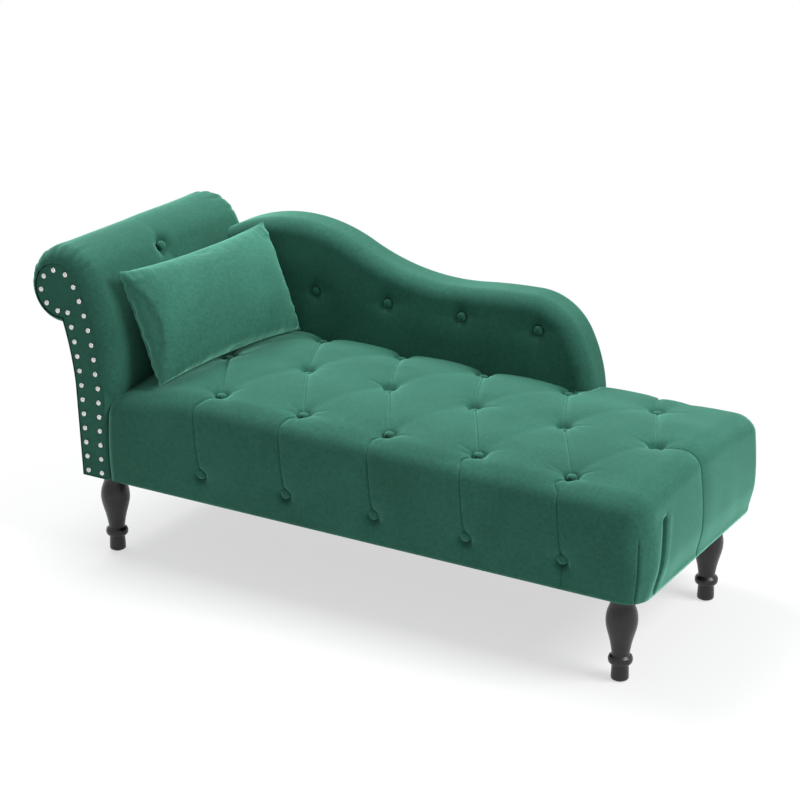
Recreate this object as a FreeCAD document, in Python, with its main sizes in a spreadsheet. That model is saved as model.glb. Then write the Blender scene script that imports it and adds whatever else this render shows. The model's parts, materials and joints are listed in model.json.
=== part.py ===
import FreeCAD, Part
import math
import os
from FreeCAD import Placement, Rotation, Vector

# Chaise longue with a scrolled headrest, a low side back and a tufted seat.
# +X runs from the headrest to the foot end, +Y from the front to the side back, +Z up.
# The origin is on the floor under the middle of the overall box. Millimetres.

doc = FreeCAD.newDocument("Chaise")
sheet = doc.addObject("Spreadsheet::Sheet", "Sizes")

DRIVING_SIZES = {
    # Seat
    "seat_length": 1281,
    "seat_width": 595,
    "seat_top_head": 444,
    "seat_top_foot": 422,
    "seat_edge_drop": 17,
    "seat_edge_round": 50,
    "seat_foot_round": 48,
    "seat_corner_round": 30,
    "seat_head_press": 46,
    "seat_head_run": 230,
    "front_bulge": 5,
    "foot_bulge": 6,
    "foot_tuck": 6,
    "padding": 26,
    "foam_edge_round": 20,
    "cover_over_foam": 30,
    # Tufts and buttons
    "tuft_pitch": 209,
    "tuft_row_pitch": 203,
    "tuft_first_from_join": 253,
    "tuft_first_from_front": 71,
    "tuft_middle_shift": 15,
    "tuft_depth": 19,
    "tuft_spread": 78,
    "fold_depth": 6,
    "fold_width": 14,
    "seam_depth": 3,
    "seam_width": 4,
    "seat_button_dia": 20,
    "front_button_pitch": 216.5,
    "front_button_from_join": 240,
    "front_button_height": 252,
    "front_dimple_spread": 34,
    "front_dimple_depth": 7,
    "button_thick": 5,
    "button_crown": 3,
    "button_room": 0.3,
    "button_sides": 8,
    "pleats": 8,
    "twine_width": 2,
    "twine_hole": 6,
    # Headrest
    "headrest_short": 10,
    "headrest_base_thick": 83,
    "headrest_neck_lean": 8,
    "headrest_neck_bow": 4,
    "headrest_neck_height": 400,
    "headrest_notch_setback": 116,
    "roll_setback": 117,
    "roll_tangent_angle": 27,
    "roll_height": 617,
    "roll_radius": 87,
    "headrest_face_bulge": 18,
    "headrest_end_round": 35,
    "panel_base_thick": 67,
    "panel_inner_setback": 13,
    "panel_notch_setback": 117,
    "panel_roll_setback": 125,
    "panel_roll_drop": 10,
    "panel_roll_radius": 61,
    "panel_face_setback": 18,
    "panel_rim": 4,
    "panel_thick": 6,
    "panel_recess": 2,
    "nail_dia": 11,
    "nail_dome": 2,
    "nail_pitch": 33.3,
    "nail_sides": 8,
    "nail_edge": 11,
    "nail_first_height": 200,
    "headrest_shell": 14,
    "headrest_tuck_drop": 16,
    "headrest_button_from_front": 276,
    "headrest_dimple_spread": 60,
    "headrest_dimple_depth": 9,
    "headrest_button_dia": 21,
    "headrest_lower_button_height": 500,
    "headrest_button_spacing": 190,
    # Side back
    "back_front_from_rear": 98,
    "back_depth": 92,
    "back_head_overlap": 45,
    "back_crest_from_join": 155,
    "back_crest_height": 685,
    "back_crest_radius": 390,
    "back_fall_angle": 26.5,
    "back_valley_radius": 531,
    "back_rise_angle": 6,
    "back_hump_radius": 1320,
    "back_shoulder_radius": 140,
    "back_shoulder_angle": 62,
    "back_end_radius": 330,
    "back_end_angle": 25,
    "back_front_round": 34,
    "back_rear_round": 8,
    "back_shell": 9,
    "back_gap": 0.3,
    "back_dimple_spread": 40,
    "back_dimple_depth": 6,
    "board_inset": 14,
    "back_button_dia": 18,
    "back_button_pitch": 190,
    "back_button_from_join": 221,
    "back_button_height": 528,
    # Wooden frame
    "frame_bottom": 190,
    "rail_height": 110,
    "rail_thick": 22,
    "board_thick": 18,
    "deck_thick": 12,
    "stretcher_height": 42,
    "batten_depth": 36,
    "back_spacer_top": 540,
    "corner_block": 62,
    "corner_block_height": 50,
    "rail_back_from_join": 66,
    "head_bolt_setback": 30,
    # Legs
    "leg_length": 187,
    "leg_collar_dia": 57,
    "leg_bulb_dia": 65,
    "leg_neck_dia": 35,
    "leg_ring_dia": 50,
    "leg_foot_dia": 36,
    "leg_ring_height": 45,
    "leg_bulb_height": 130,
    "leg_sides": 18,
    "leg_front_inset": 46,
    "leg_rear_inset": 117,
    "leg_head_setback": 29,
    "leg_foot_inset": 62,
    "glide_dia": 24,
    "glide_thick": 3,
    "glide_sides": 12,
    "leg_plate": 39,
    "leg_plate_thick": 3,
    "leg_collar_thick": 8,
    "leg_throat": 9,
    "leg_ring_half": 9,
    "leg_bolt_depth": 40,
    "hanger_reach": 30,
    "nut_cap": 1.5,
    "dust_thick": 1,
    "dust_hem": 6,
    "bolt_dia": 8,
    "bolt_head_dia": 13,
    "bolt_head_thick": 5.5,
    # Pillow
    "pillow_length": 445,
    "pillow_height": 262,
    "pillow_thick": 138,
    "pillow_centre_from_join": 98,
    "pillow_centre_from_front": 265,
    "pillow_centre_height": 546,
    "pillow_lean": 23,
    "pillow_turn": -11.5,
    "pillow_roll": 2.7,
    "pillow_draw": 0.06,
    "pillow_seam": 3,
    "pillow_thin_edge": 0.4,
    "button_to_batten": 40,
    "board_behind_panel": 1,
    "pillow_filling_gap": 3,
    "pillow_clearance": 2,
}

for row, (alias, value) in enumerate(DRIVING_SIZES.items(), start=1):
    sheet.set(f"A{row}", alias)
    sheet.set(f"B{row}", str(value))
    sheet.setAlias(f"B{row}", alias)
doc.recompute()


def size(alias):
    return float(sheet.get(alias))


def size_count(alias):
    return int(round(size(alias)))


overall_length = size("seat_length") + size("foot_bulge") + size("roll_setback") + size("roll_radius")
join_x = size("roll_setback") + size("roll_radius") - overall_length / 2
front_y = (size("front_bulge") - size("seat_width")) / 2
rear_y = front_y + size("seat_width")
headrest_width = size("seat_width") - size("headrest_short")
foot_x = join_x + size("seat_length")
underside_z = size("leg_length")
frame_top = size("frame_bottom") + size("rail_height")
deck_top = frame_top + size("deck_thick")
foam_top = size("seat_top_foot") - size("cover_over_foam")
board_front_y = front_y + size("padding") - size("board_thick")
rail_front_y = front_y + size("padding")
rail_rear_y = front_y + headrest_width - size("padding") - size("rail_thick")
rail_rear_out = rail_rear_y + size("rail_thick")
back_front_y = rear_y - size("back_front_from_rear")
back_rear_y = back_front_y + size("back_depth")

# The same places, written for expressions
JOIN = "((Sizes.roll_setback + Sizes.roll_radius - Sizes.seat_length - Sizes.foot_bulge) / 2)"
FRONT = "((Sizes.front_bulge - Sizes.seat_width) / 2)"
REAR = "((Sizes.front_bulge + Sizes.seat_width) / 2)"
RAIL_FRONT = f"({FRONT} + Sizes.padding)"
RAIL_REAR = f"({FRONT} + Sizes.seat_width - Sizes.headrest_short - Sizes.padding - Sizes.rail_thick)"
FRAME_TOP = "(Sizes.frame_bottom + Sizes.rail_height)"


def board(name, place, lengths):
    """A straight board: its lowest corner and its three lengths are expressions."""
    item = doc.addObject("Part::Box", name)
    for axis, value in zip("xyz", place):
        item.setExpression(f"Placement.Base.{axis}", value)
    for side, value in zip(("Length", "Width", "Height"), lengths):
        item.setExpression(side, value)
    return item


def finished(name, shape):
    """A piece whose form is worked out in code from the sheet."""
    item = doc.addObject("Part::Feature", name)
    item.Shape = shape
    item.Placement = shape.Placement
    return item


def cut_away(name, piece, tool_shape):
    """The piece with a tool taken out of it, kept as a boolean of the document."""
    tool = finished(name + "_tool", tool_shape)
    result = doc.addObject("Part::Cut", name)
    result.Base = piece
    result.Tool = tool
    return result


def polar(centre, radius, degrees):
    angle = math.radians(degrees)
    return (centre[0] + radius * math.cos(angle), centre[1] + radius * math.sin(angle))


def joined(shapes):
    return shapes[0].multiFuse(shapes[1:]) if len(shapes) > 1 else shapes[0]


def block(x0, x1, y0, y1, z0, z1):
    return Part.makeBox(x1 - x0, y1 - y0, z1 - z0, Vector(x0, y0, z0))


def flat_faces(corners):
    """One flat face on four corners that lie in a plane, or two on corners that don't."""
    a, b, c, d = corners
    lift = (b - a).cross(c - a).normalize().dot(d - a)
    if abs(lift) < 1e-6:
        return [Part.Face(Part.makePolygon([a, b, c, d, a]))]
    return [Part.Face(Part.makePolygon(three)) for three in ([a, b, c, a], [a, c, d, a])]


def banded(rings):
    """A closed solid through rings of points, flat from each ring to the next."""
    faces = [Part.Face(Part.makePolygon(ring + [ring[0]])) for ring in (rings[0], rings[-1])]
    for low, high in zip(rings, rings[1:]):
        for k, corner in enumerate(low):
            after = (k + 1) % len(low)
            faces += flat_faces([corner, low[after], high[after], high[k]])
    solid = Part.makeSolid(Part.makeShell(faces))
    if solid.Volume < 0:
        solid.reverse()
    return solid


def stacked(levels, sides, point, outward):
    """A small turned form, ring on ring along the Z axis, then stood on its own axis."""
    rings = []
    for radius, height in levels:
        corners = [polar((0, 0), radius, 360 * k / sides) for k in range(sides)]
        rings.append([Vector(x, y, height) for x, y in corners])
    form = banded(rings)
    form.Placement = Placement(Vector(*point), Rotation(Vector(0, 0, 1), Vector(*outward)))
    return form


# A dimple bends at these shares of its spread and depth, and opens a little past its spread
DIMPLE_BEND_OUT = 0.4
DIMPLE_BEND_DOWN = 0.45
DIMPLE_MOUTH_OUT = 1.1
DIMPLE_MOUTH_UP = 0.08
BUTTON_CROWN_WIDTH = 0.55


def dimple(point, outward, spread, depth, floor_dia):
    """What a button pulls out of a padded face: a pleated funnel with room for the button."""
    pleats = size_count("pleats")
    floor = (floor_dia / 2 + size("button_room")) / math.cos(math.pi / pleats)
    bend = (spread * DIMPLE_BEND_OUT, -depth * DIMPLE_BEND_DOWN)
    mouth = (spread * DIMPLE_MOUTH_OUT, depth * DIMPLE_MOUTH_UP)
    levels = [(floor, -depth), bend, mouth]
    return stacked(levels, pleats, point, outward)


def button(point, outward, diameter):
    """A covered button: a low drum with a crowned face."""
    radius = diameter / 2
    crown = size("button_crown")
    drum_top = size("button_thick") - crown
    levels = [(radius, 0), (radius, drum_top), (radius * BUTTON_CROWN_WIDTH, drum_top + crown)]
    return stacked(levels, size_count("button_sides"), point, outward)


# Seat

# Shares of the seat's own curves: the front's stand at its foot and at its buttons, the headrest's
# press at its middle point, the length past both ends that is cut off, and the folds' start
FRONT_FOOT_SHARE = 0.2
FRONT_BUTTON_SHARE = 0.6
PRESS_RUN_SHARE = 0.4
PRESS_DEPTH_SHARE = 0.34
SPARE_LENGTH_SHARE = 0.05
FOLD_START_SHARE = 0.45
SHALLOW_FOLD_SHARE = 0.5


def seat_top(x):
    """Height of the crown line, which falls from the headrest to the foot end."""
    fall = size("seat_top_head") - size("seat_top_foot")
    return size("seat_top_head") - fall * (x - join_x) / size("seat_length")


def across_wire(x, top, z_low):
    """The seat seen from its foot end: bulging faces, rounded edges and a crown."""
    shoulder = top - size("seat_edge_drop")
    radius = size("seat_edge_round")
    side_top = shoulder - radius
    waist = (side_top + underside_z) / 2
    slope = Vector(0, radius * (1 - math.cos(math.radians(45))), radius * math.sin(math.radians(45)))
    front = front_y + size("front_bulge") * FRONT_FOOT_SHARE
    rear = rear_y
    p = {
        "front_low": Vector(x, front, z_low),
        "front_base": Vector(x, front, underside_z),
        "front_mid": Vector(x, front_y - size("front_bulge"), waist),
        "front_top": Vector(x, front, side_top),
        "front_bend": Vector(x, front + slope.y, side_top + slope.z),
        "crown_front": Vector(x, front + radius, shoulder),
        "crown": Vector(x, (front + rear) / 2, top),
        "crown_rear": Vector(x, rear - radius, shoulder),
        "rear_bend": Vector(x, rear - slope.y, side_top + slope.z),
        "rear_top": Vector(x, rear, side_top),
        "rear_low": Vector(x, rear, z_low),
    }
    edges = [
        Part.makeLine(p["front_low"], p["front_base"]),
        Part.Arc(p["front_base"], p["front_mid"], p["front_top"]).toShape(),
        Part.Arc(p["front_top"], p["front_bend"], p["crown_front"]).toShape(),
        Part.Arc(p["crown_front"], p["crown"], p["crown_rear"]).toShape(),
        Part.Arc(p["crown_rear"], p["rear_bend"], p["rear_top"]).toShape(),
        Part.makeLine(p["rear_top"], p["rear_low"]),
        Part.makeLine(p["rear_low"], p["front_low"]),
    ]
    return Part.Wire(edges)


def side_profile():
    """The seat seen from its front: pressed down at the headrest, bulging at the foot end."""
    head_top = size("seat_top_head")
    press = size("seat_head_press")
    run = size("seat_head_run")
    radius = size("seat_foot_round")
    foot_shoulder = size("seat_top_foot")
    face_top = foot_shoulder - radius
    waist = (face_top + underside_z) / 2
    diagonal = math.cos(math.radians(45))
    y = front_y * 2
    low_head = Vector(join_x, y, underside_z)
    high_head = Vector(join_x, y, head_top - press)
    press_mid = Vector(join_x + run * PRESS_RUN_SHARE, y, head_top - press * PRESS_DEPTH_SHARE)
    crown_head = Vector(join_x + run, y, seat_top(join_x + run))
    crown_foot = Vector(foot_x - radius, y, foot_shoulder)
    foot_bend = Vector(foot_x - radius * (1 - diagonal), y, face_top + radius * diagonal)
    foot_top = Vector(foot_x, y, face_top)
    foot_mid = Vector(foot_x + size("foot_bulge"), y, waist)
    foot_low = Vector(foot_x - size("foot_tuck"), y, underside_z)
    edges = [
        Part.makeLine(low_head, high_head),
        Part.Arc(high_head, press_mid, crown_head).toShape(),
        Part.makeLine(crown_head, crown_foot),
        Part.Arc(crown_foot, foot_bend, foot_top).toShape(),
        Part.Arc(foot_top, foot_mid, foot_low).toShape(),
        Part.makeLine(foot_low, low_head),
    ]
    return Part.Face(Part.Wire(edges))


def plan_block():
    """The seat seen from above: square at the headrest, rounded corners at the foot end."""
    margin = size("seat_width")
    x_end = foot_x + size("foot_bulge")
    reach = size("front_bulge")
    tall = block(join_x, x_end, front_y - reach, rear_y, 0, margin)
    corners = [edge for edge in tall.Edges if stands_at(edge, x_end)]
    return tall.makeFillet(size("seat_corner_round"), corners)


def stands_at(edge, x):
    low, high = edge.BoundBox.ZMin, edge.BoundBox.ZMax
    return high - low > 1 and abs(edge.BoundBox.XMin - x) < 0.01 and abs(edge.BoundBox.XMax - x) < 0.01


def seat_form():
    fall = size("seat_top_head") - size("seat_top_foot")
    run = Vector(size("seat_length"), 0, -fall)
    face = Part.Face(across_wire(0, size("seat_top_head"), 0))
    face.rotate(Vector(0, 0, size("seat_top_head")), Vector(0, 1, 0), math.degrees(math.atan(fall / run.x)))
    face.translate(Vector(join_x, 0, 0) - run * SPARE_LENGTH_SHARE)
    prism = face.extrude(run * (1 + 2 * SPARE_LENGTH_SHARE))
    side = side_profile().extrude(Vector(0, size("seat_width") * 2, 0))
    return prism.common(side).common(plan_block())


def tuft_places():
    """Rows from the front: whole pitches, half pitches, whole pitches."""
    first = join_x + size("tuft_first_from_join")
    pitch = size("tuft_pitch")
    row_front = front_y + size("tuft_first_from_front")
    row_gap = size("tuft_row_pitch")
    half_start = first + pitch / 2 - size("tuft_middle_shift")
    rows = [
        [(first + k * pitch, row_front) for k in range(5)],
        [(half_start + k * pitch, row_front + row_gap) for k in range(-1, 5)],
        [(first + k * pitch, row_front + 2 * row_gap) for k in range(5)],
    ]
    return rows


def channel(start, end, depth, width, reach_up):
    """A V-shaped channel pressed along the line between two points."""
    line = Vector(*end) - Vector(*start)
    side = Vector(-line.y, line.x, 0)
    side.normalize()
    low = Vector(*start) - Vector(0, 0, depth)
    up = Vector(0, 0, reach_up)
    half = side * (width / 2)
    flare = reach_up / depth
    tri = Part.makePolygon([low, low + half * flare + up, low - half * flare + up, low])
    return Part.Face(tri).extrude(line)


def seat_folds(rows):
    """Sewn folds between the tufts: one way deep, the other way shallow."""
    front, middle, rear = rows
    channels = []
    sink = size("tuft_depth") * FOLD_START_SHARE

    def fold(a, b, depth):
        start = (a[0], a[1], seat_top(a[0]) - sink)
        end = (b[0], b[1], seat_top(b[0]) - sink)
        channels.append(channel(start, end, depth, size("fold_width"), size("tuft_depth")))

    for k, place in enumerate(front):
        fold(place, middle[k], size("fold_depth"))
    for k, place in enumerate(rear):
        fold(middle[k + 1], place, size("fold_depth"))
        fold(middle[k], place, size("fold_depth") * SHALLOW_FOLD_SHARE)
    for k, place in enumerate(front):
        fold(place, middle[k + 1], size("fold_depth") * SHALLOW_FOLD_SHARE)
    return channels


def front_buttons():
    """Places of the buttons on the front face, a little wider apart than the tufts."""
    first = join_x + size("front_button_from_join")
    face = front_y - size("front_bulge") * FRONT_BUTTON_SHARE
    return [(first + k * size("front_button_pitch"), face, size("front_button_height")) for k in range(5)]


def seam_band(form, start, end, low, high):
    """A narrow standing band across the face of a form, as deep as a sewn seam."""
    line = Vector(end[0] - start[0], end[1] - start[1], 0)
    side = Vector(-line.y, line.x, 0)
    side.normalize()
    half = side * (size("seam_width") / 2)
    a = Vector(start[0], start[1], low)
    b = Vector(end[0], end[1], low)
    strip = Part.Face(Part.makePolygon([a - half, b - half, b + half, a + half, a - half]))
    inner = form.copy()
    shift = line.normalize() * -size("seam_depth")
    inner.translate(Vector(shift.x, shift.y, -size("seam_depth")))
    return strip.extrude(Vector(0, 0, high - low)).cut(inner)


def seat_cavity():
    """The room inside the cover for the frame, the deck and the foam."""
    y_high = rail_rear_out
    x_high = foot_x - size("padding")
    room = block(join_x - 1, x_high, rail_front_y, y_high, 0, foam_top)
    long_edges = [edge for edge in room.Edges if is_top_edge(edge, x_high)]
    return room.makeFillet(size("foam_edge_round"), long_edges)


def is_top_edge(edge, x_high):
    box = edge.BoundBox
    level = abs(box.ZMin - foam_top) < 0.01 and abs(box.ZMax - foam_top) < 0.01
    return level and box.XMax > x_high - 0.01


def tuft_dimple(point):
    return dimple(point, (0, 0, 1), size("tuft_spread"), size("tuft_depth"), size("seat_button_dia"))


def front_dimple(point):
    spread = size("front_dimple_spread")
    return dimple(point, (0, -1, 0), spread, size("front_dimple_depth"), size("seat_button_dia"))


def seat_cover():
    form = seat_form()
    rows = tuft_places()
    front = rows[0]
    outside = front_y - size("seat_width")
    bands = []
    for tuft, knob in zip(front, front_buttons()):
        bands.append(seam_band(form, tuft, (knob[0], outside), knob[2], size("seat_top_head") * 2))
    last = rows[1][-1]
    beyond = (foot_x + size("seat_width"), last[1])
    bands.append(seam_band(form, last, beyond, 0, size("seat_top_head") * 2))
    tools = bands + seat_folds(rows)
    for row in rows:
        for place in row:
            point = (place[0], place[1], seat_top(place[0]))
            tools.append(tuft_dimple(point))
    for knob in front_buttons():
        tools.append(front_dimple(knob))
    back_room = block(join_x - 1, back_end_x(), back_front_y, rear_y + 1, 0, size("seat_top_head") * 2)
    form = form.cut(back_room).cut(seat_cavity())
    for tool in tools:
        form = form.cut(tool)
    return form.cut(pillow_dent())


def deck_area(z0, z1):
    """Room over the frame: up to the side back, and past its foot end up to the rear rail."""
    x_high = foot_x - size("padding")
    inner = block(join_x, x_high, rail_front_y, back_front_y, z0, z1)
    return inner.fuse(block(back_end_x(), x_high, rail_front_y, rail_rear_out, z0, z1)).removeSplitter()


def twine_posts(width, z0, z1):
    half = width / 2
    return [block(x - half, x + half, y - half, y + half, z0, z1) for row in tuft_places() for x, y in row]


def seat_foam():
    core = seat_cavity().common(deck_area(deck_top, foam_top))
    return core.cut(twine_posts(size("twine_width"), deck_top - 1, foam_top + 1))


def seat_buttons():
    sink = size("tuft_depth")
    return [button((x, y, seat_top(x) - sink), (0, 0, 1), size("seat_button_dia"))
            for row in tuft_places() for x, y in row]


# Scrolled headrest


def scroll_wire(y, puff, inset, base_z):
    """Outline of the headrest across its width. A puff of 0 is the stiff end panel, and a puff
    of 1 the full padding, with every edge drawn in by the inset."""

    def mix(stiff, full):
        return stiff + puff * (full - stiff)

    tilt = size("roll_tangent_angle")
    centre = (join_x - mix(size("panel_roll_setback"), size("roll_setback")),
              mix(size("roll_height") - size("panel_roll_drop"), size("roll_height")))
    radius = mix(size("panel_roll_radius"), size("roll_radius")) - inset
    outer = join_x - mix(size("panel_base_thick") + size("panel_inner_setback"), size("headrest_base_thick")) + inset
    neck = (outer - size("headrest_neck_lean"), size("headrest_neck_height"))
    notch_x = join_x - mix(size("panel_notch_setback"), size("headrest_notch_setback")) + inset
    notch_angle = -math.degrees(math.acos((notch_x - centre[0]) / radius))
    notch = polar(centre, radius, notch_angle)
    bow = ((neck[0] + notch[0]) / 2 + size("headrest_neck_bow"), (neck[1] + notch[1]) / 2)
    left = polar(centre, radius, -180)
    under = polar(centre, radius, (notch_angle - 180) / 2)
    crest = polar(centre, radius, (180 + tilt) / 2)
    tangent = polar(centre, radius, tilt)
    face_x = join_x + mix(-size("panel_face_setback"), size("headrest_face_bulge")) - inset
    face_radius = (face_x - tangent[0]) / (1 - math.cos(math.radians(tilt)))
    face_centre = (face_x - face_radius, tangent[1] - face_radius * math.sin(math.radians(tilt)))
    face_mid = polar(face_centre, face_radius, tilt / 2)
    tuck = (join_x - mix(size("panel_inner_setback"), 0) - inset, face_centre[1] - size("headrest_tuck_drop"))

    def at(place):
        return Vector(place[0], y, place[1])

    base_outer = at((outer, base_z))
    base_inner = at((tuck[0], base_z))
    face_low = at((face_x, face_centre[1]))
    return Part.Wire([
        Part.makeLine(base_outer, at(neck)),
        Part.Arc(at(neck), at(bow), at(notch)).toShape(),
        Part.Arc(at(notch), at(under), at(left)).toShape(),
        Part.Arc(at(left), at(crest), at(tangent)).toShape(),
        Part.Arc(at(tangent), at(face_mid), face_low).toShape(),
        Part.makeLine(face_low, at(tuck)),
        Part.makeLine(at(tuck), base_inner),
        Part.makeLine(base_inner, base_outer),
    ])


def headrest_form():
    """The padding swells from the stiff end panels to its full roll in a quarter round."""
    reach = size("headrest_end_round")
    near = front_y + reach
    far = front_y + headrest_width - reach
    ends = []
    for edge, way in ((near, -1), (far, 1)):
        wires = []
        for angle in (90, 35, 0):
            turn = math.radians(angle)
            wires.append(scroll_wire(edge + way * reach * math.cos(turn), math.sin(turn), 0, underside_z))
        ends.append(Part.makeLoft(wires, True, True))
    return scroll_slab(near, far - near, 1, 0, underside_z).multiFuse(ends)


def scroll_slab(y, thick, puff, inset, base_z):
    return Part.Face(scroll_wire(y, puff, inset, base_z)).extrude(Vector(0, thick, 0))


def headrest_button_places():
    """One button high on the roll and two lower ones, each with the way its face looks."""
    tilt = size("roll_tangent_angle")
    centre = (join_x - size("roll_setback"), size("roll_height"))
    high = polar(centre, size("roll_radius"), tilt)
    face_x = join_x + size("headrest_face_bulge")
    face_radius = (face_x - high[0]) / (1 - math.cos(math.radians(tilt)))
    face_centre = (face_x - face_radius, high[1] - face_radius * math.sin(math.radians(tilt)))
    lean = math.degrees(math.asin((size("headrest_lower_button_height") - face_centre[1]) / face_radius))
    low = polar(face_centre, face_radius, lean)
    middle = front_y + size("headrest_button_from_front")
    step = size("headrest_button_spacing") / 2
    places = [((high[0], middle, high[1]), tilt)]
    places += [((low[0], middle + side * step, low[1]), lean) for side in (-1, 1)]
    return [(point, (math.cos(math.radians(angle)), 0, math.sin(math.radians(angle)))) for point, angle in places]


def headrest_cover():
    form = headrest_form()
    room_start = rail_front_y
    room = scroll_slab(room_start, rail_rear_out - room_start, 1, size("headrest_shell"), 0)
    window = scroll_slab(front_y - 1, size("padding") + 1, 0, size("panel_rim"), 0)
    rear_window = scroll_slab(rail_rear_out, size("padding") + 1, 0, size("panel_rim"), 0)
    frame_way = block(join_x - size("rail_back_from_join"), join_x + 1, rail_front_y, rail_rear_out, 0, frame_top)
    form = form.cut(room).cut(window).cut(rear_window).cut(frame_way)
    for point, outward in headrest_button_places():
        spread = size("headrest_dimple_spread")
        form = form.cut(dimple(point, outward, spread, size("headrest_dimple_depth"), size("headrest_button_dia")))
    return form


def headrest_foam():
    core = scroll_slab(rail_front_y, rail_rear_out - rail_front_y, 1, size("headrest_shell"), frame_top)
    return core


def nail_places():
    """Nails follow the edge of the end panel, up the outside, round the roll and down."""
    inset = size("panel_rim") + size("nail_edge")
    wire = scroll_wire(front_y, 0, inset, size("nail_first_height"))
    path = Part.Wire(wire.Edges[:7])
    count = int(round(path.Length / size("nail_pitch"))) + 1
    return path.discretize(Number=count)


def nail(point):
    radius = size("nail_dia") / 2
    dome = size("nail_dome")
    levels = [(radius, 0), (radius * 0.55, dome)]
    face_y = front_y + size("panel_recess")
    return stacked(levels, size_count("nail_sides"), (point.x, face_y, point.z), (0, -1, 0))


# Side back


def back_arcs(inset):
    """Top line of the side back as a chain of tangent arcs from the headrest to the seat."""
    reach = size("back_crest_from_join") + size("back_head_overlap")
    radius = size("back_crest_radius")
    rise = math.degrees(math.asin(reach / radius))
    fall = size("back_fall_angle")
    lift = size("back_rise_angle")
    start_x = join_x - size("back_head_overlap")
    start_z = size("back_crest_height") - radius * (1 - math.cos(math.radians(rise)))
    turns = [
        (radius, -(rise + fall)),
        (size("back_valley_radius"), fall + lift),
        (size("back_hump_radius"), -lift),
        (size("back_shoulder_radius"), -size("back_shoulder_angle")),
        (size("back_end_radius"), -size("back_end_angle")),
    ]
    heading = rise
    x = start_x
    z = start_z
    arcs = []
    for radius, turn in turns:
        side = 1 if turn > 0 else -1
        centre = polar((x, z), radius, heading + 90 * side)
        shown = radius + inset * side
        angles = [heading - 90 * side + turn * share for share in (0, 0.5, 1)]
        arcs.append([polar(centre, shown, angle) for angle in angles])
        x, z = polar(centre, radius, heading - 90 * side + turn)
        heading += turn
    return arcs


def back_end_x():
    return back_arcs(0)[-1][-1][0] + size("back_gap")


def back_wire(inset, y, base_z):
    arcs = [[Vector(x, y, z) for x, z in arc] for arc in back_arcs(inset)]
    first = arcs[0][0]
    last = arcs[-1][-1]
    head_low = Vector(first.x, y, base_z)
    foot_low = Vector(last.x, y, base_z)
    edges = [Part.Arc(*arc).toShape() for arc in arcs]
    edges.append(Part.makeLine(last, foot_low))
    edges.append(Part.makeLine(foot_low, head_low))
    edges.append(Part.makeLine(head_low, first))
    return Part.Wire(edges)


def back_slab(inset, y0, y1, base_z, front_round=0, rear_round=0):
    """The outline of the side back, as thick as asked, with its top edge rounded in steps."""
    near = y0 + front_round
    far = y1 - rear_round
    middle = Part.Face(back_wire(inset, near, base_z)).extrude(Vector(0, far - near, 0))
    rims = []
    for edge, radius, way in ((near, front_round, -1), (far, rear_round, 1)):
        wires = []
        for angle in (90, 45, 0) if radius else ():
            turn = math.radians(angle)
            drawn_in = inset + radius * (1 - math.sin(turn))
            wires.append(back_wire(drawn_in, edge + way * radius * math.cos(turn), base_z))
        if wires:
            rims.append(Part.makeLoft(wires, True, True))
    return middle.multiFuse(rims) if rims else middle


def trimmed_by_headrest(solid, clearance_x):
    """Nothing of the side back goes past the headrest's padding."""
    outermost = join_x - size("roll_setback") - size("roll_radius")
    below = block(outermost, join_x + clearance_x, front_y, rear_y, 0, frame_top)
    return solid.cut(headrest_form()).cut(below)


def back_button_places():
    first = join_x + size("back_button_from_join")
    pitch = size("back_button_pitch")
    return [(first + k * pitch, back_front_y, size("back_button_height")) for k in range(4)]


def back_cover():
    rear_in = rail_rear_out + size("board_thick")
    upper = back_slab(0, back_front_y, back_rear_y, frame_top, size("back_front_round"), size("back_rear_round"))
    skirt = back_slab(0, rear_in, back_rear_y, underside_z, 0, size("back_rear_round"))
    form = trimmed_by_headrest(upper.fuse(skirt), 0).cut(back_room())
    for point in back_button_places():
        spread = size("back_dimple_spread")
        form = form.cut(dimple(point, (0, -1, 0), spread, size("back_dimple_depth"), size("back_button_dia")))
    return form


def back_room():
    """The inside of the side back's cover, from behind its front to its rear."""
    shell = size("back_shell")
    rear_in = rail_rear_out + size("board_thick")
    return back_slab(shell, back_front_y + shell, rear_in, 0, size("back_front_round") - shell)


def back_foam():
    front = back_front_y + size("back_shell")
    rear = rail_rear_y - size("board_thick")
    layer = block(join_x - size("back_head_overlap"), back_end_x(), front, rear, frame_top, size("back_crest_height"))
    return trimmed_by_headrest(back_room().common(layer), 0)


def back_board(y):
    solid = back_slab(size("board_inset"), y, y + size("board_thick"), size("frame_bottom"))
    above_all = size("back_crest_height") * 2
    room = block(join_x + size("board_inset"), foot_x, y - 1, y + size("board_thick") + 1, 0, above_all)
    return solid.common(room).cut(headrest_form())


# Pillow

# Sections along the pillow and points up each section, as shares of its half length and height
PILLOW_STATIONS = (-1, -0.9, -0.6, 0, 0.6, 0.9, 1)
PILLOW_LEVELS = (-1, -0.86, -0.6, -0.2, 0.2, 0.6, 0.86, 1)
PILLOW_ROUNDING = 2.4
PILLOW_END_FULLNESS = 0.04


def pillow_ring(share, half_length, half_height, half_thick, seam):
    """A lens-shaped section across the pillow, thin at the seam and full in the middle."""
    u = share * half_length
    edge = abs(share)
    tall = half_height * (1 - size("pillow_draw") * (1 - edge ** 2))
    thick = half_thick * max(1 - edge ** 3, PILLOW_END_FULLNESS)
    face = [Vector(seam + thick * (1 - abs(v) ** PILLOW_ROUNDING), u, v * tall) for v in PILLOW_LEVELS]
    back = [Vector(-point.x, u, point.z) for point in reversed(face)]
    return face + back


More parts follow.
